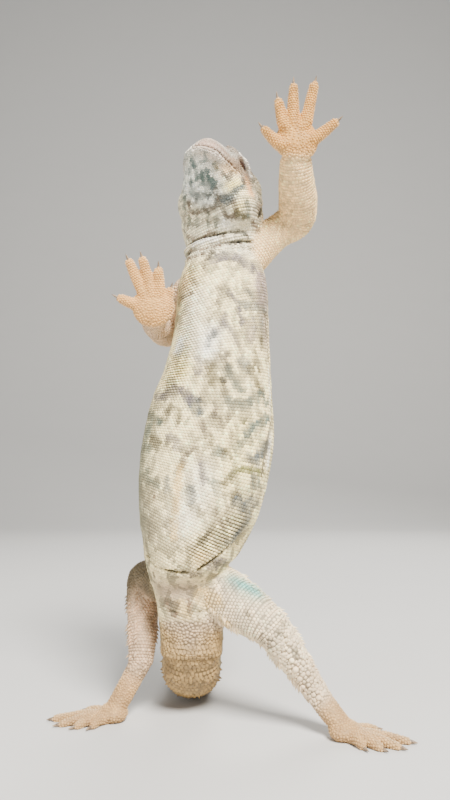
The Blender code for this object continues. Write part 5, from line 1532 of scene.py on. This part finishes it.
def coatPiece(name, chosen, solid, finish, slot):
    shape, faces = scaleSolids[solid]
    outs = rootNormals[chosen] / np.linalg.norm(rootNormals[chosen], axis=1)[:, None]
    lies = rootLies[chosen] - outs * np.sum(rootLies[chosen] * outs, axis=1)[:, None]
    lies /= np.maximum(np.linalg.norm(lies, axis=1)[:, None], 1e-9)
    acrosses = np.cross(lies, outs)
    turns = rootTurns[chosen][:, None]
    alongs = lies * np.cos(turns) + acrosses * np.sin(turns)
    acrosses = np.cross(alongs, outs)
    sizes = rootSizes[chosen] * rootSwell[chosen]
    spots = (rootPlaces[chosen][:, None, :]
             + acrosses[:, None, :] * (shape[None, :, 0:1] * sizes[:, None, 0:1])
             + alongs[:, None, :] * (shape[None, :, 1:2] * sizes[:, None, 1:2])
             + outs[:, None, :] * (shape[None, :, 2:3] * sizes[:, None, 2:3])).reshape(-1, 3)
    spots[:, 2] = np.maximum(spots[:, 2], 0.0)
    corners = np.concatenate([np.array(face) for face in faces])
    sides = np.array([len(face) for face in faces])
    count, points = len(chosen), len(shape)
    allCorners = (corners[None, :] + points * np.arange(count)[:, None]).ravel()
    mesh = bpy.data.meshes.new(name)
    mesh.vertices.add(count * points)
    mesh.vertices.foreach_set("co", spots.astype(np.float32).ravel())
    mesh.loops.add(len(allCorners))
    mesh.loops.foreach_set("vertex_index", allCorners.astype(np.int32))
    mesh.polygons.add(count * len(faces))
    starts = np.concatenate([[0], np.cumsum(np.tile(sides, count))[:-1]])
    mesh.polygons.foreach_set("loop_start", starts.astype(np.int32))
    mesh.update(calc_edges=True)
    repeat = np.repeat(rootCorners[chosen], points)
    shade = np.repeat(rootShade[chosen], points)[:, None]
    addVectors(mesh, "place", np.repeat(rootPlaces[chosen], points, axis=0))
    addColour(mesh, "tone", np.clip(tone[repeat] * shade, 0, 1))
    addColour(mesh, "ink", ink[repeat])
    addVectors(mesh, "marks", marks[repeat])
    patch = scalePatch * shape[:, :2]
    spread = (rootSheet[chosen][:, None, :] + patch[None, :, :]).reshape(-1, 2)
    mesh.uv_layers.new(name="OFBake").data.foreach_set("uv", spread[allCorners].astype(np.float32).ravel())
    obj = bpy.data.objects.new(name, mesh)
    bpy.context.scene.collection.objects.link(obj)
    return finishPiece(obj, finish, slot, crisp=solid in ("keeled", "spine"))


coatPieces = {
    "headScales": ("head",), "neckScales": ("neck",), "armLeftScales": ("armLeft",),
    "armRightScales": ("armRight",), "legLeftScales": ("legLeft",), "legRightScales": ("legRight",),
    "tailScales": ("tail",), "handScales": ("handLeft", "handRight"),
    "footScales": ("footLeft", "footRight"), "trunkScales": ("trunk",)}
coatFinishes = {"tailScales": tailFinish, "headScales": throatFinish}
coatSlots = {"tailScales": "tail_skin", "handScales": "hand_skin", "footScales": "hand_skin"}
mostScales = 6000  # more than this are split into tiles
for piece, names in coatPieces.items():
    inPiece = np.isin(rootRegions, [regionNames.index(name) for name in names])
    for solid in scaleSolids:
        chosen = np.nonzero(inPiece & (rootSolids == solid))[0]
        chosen = chosen[np.argsort(rootPlaces[chosen][:, 2], kind="stable")]
        for part in range(0, len(chosen), mostScales):
            tile = chosen[part:part + mostScales]
            number = str(part // mostScales + 1) if len(chosen) > mostScales else ""
            label = piece + solid.capitalize() + number
            coatPiece(label, tile, solid, coatFinishes.get(piece, scaleFinish), coatSlots.get(piece, "skin"))
            print(label, len(tile), "scales")


# studio: a pale sweep, three soft lights and the camera
studio = {"floor": (0.56, 0.55, 0.53), "air": (0.9, 0.95, 1.0), "airStrength": 0.28}
lights = {  # place, aim, size, power and colour
    "key": ((0.30, -0.80, 0.95), (0, 0, 0.14), 0.45, 52.0, (1.0, 0.97, 0.92)),
    "fill": ((-0.75, -0.55, 0.35), (0, 0, 0.12), 0.7, 4.5, (0.95, 0.98, 1.0)),
    "back": ((0.2, 0.7, 0.7), (0, 0, 0.14), 0.6, 8.0, (1.0, 0.99, 0.96))}


def sweep():
    bm = bmesh.new()
    rows = []
    profile = [(-1.2, 0.0), (0.9, 0.0)]
    profile += [(0.9 + 0.5 * math.sin(a), 0.5 - 0.5 * math.cos(a))
                for a in (math.radians(10 * k) for k in range(1, 10))]
    profile.append((1.4, 2.2))
    for y, z in profile:
        rows.append([bm.verts.new((x, y, z)) for x in (-2.5, 2.5)])
    for lower, upper in zip(rows, rows[1:]):
        bm.faces.new((lower[0], lower[1], upper[1], upper[0]))
    mesh = bpy.data.meshes.new("sweep")
    bm.to_mesh(mesh)
    bm.free()
    mesh.shade_smooth()
    backdrop = bpy.data.objects.new("sweep", mesh)
    bpy.context.scene.collection.objects.link(backdrop)
    material, tree, shader = newMaterial("palePaper")
    fibres = node(tree, "ShaderNodeTexNoise", {"Scale": 60.0}).outputs["Fac"]
    dim = tuple(c * 0.97 for c in studio["floor"])
    fill(tree, shader, {"Base Color": rampNode(tree, fibres, (0.0, dim), (1.0, studio["floor"])),
                        "Roughness": 0.9})
    mesh.materials.append(material)


def softLight(name, place, aim, size, power, colour):
    data = bpy.data.lights.new(name, "AREA")
    data.shape, data.size, data.energy, data.color = "DISK", size, power, colour
    lamp = bpy.data.objects.new(name, data)
    lamp.location = place
    lamp.rotation_euler = (Vector(aim) - Vector(place)).to_track_quat("-Z", "Y").to_euler()
    bpy.context.scene.collection.objects.link(lamp)


sweep()
for name, form in lights.items():
    softLight(name, *form)
world = bpy.data.worlds.new("studioAir")
world.use_nodes = True
air = {"Color": (*studio["air"], 1), "Strength": studio["airStrength"]}
fill(world.node_tree, world.node_tree.nodes["Background"], air)
bpy.context.scene.world = world

cameraForm = {"place": (0.0005, -0.325, 0.094), "pitch": 90 + math.degrees(math.atan(0.12)), "focal": 29.25}
cameraData = bpy.data.cameras.new("camera")
cameraData.sensor_fit = "VERTICAL"
cameraData.sensor_height = 36.0
cameraData.lens = cameraForm["focal"]
cameraData.clip_start = 0.01
camera = bpy.data.objects.new("camera", cameraData)
camera.location = cameraForm["place"]
camera.rotation_euler = (math.radians(cameraForm["pitch"]), 0, 0)
bpy.context.scene.collection.objects.link(camera)
bpy.context.scene.camera = camera

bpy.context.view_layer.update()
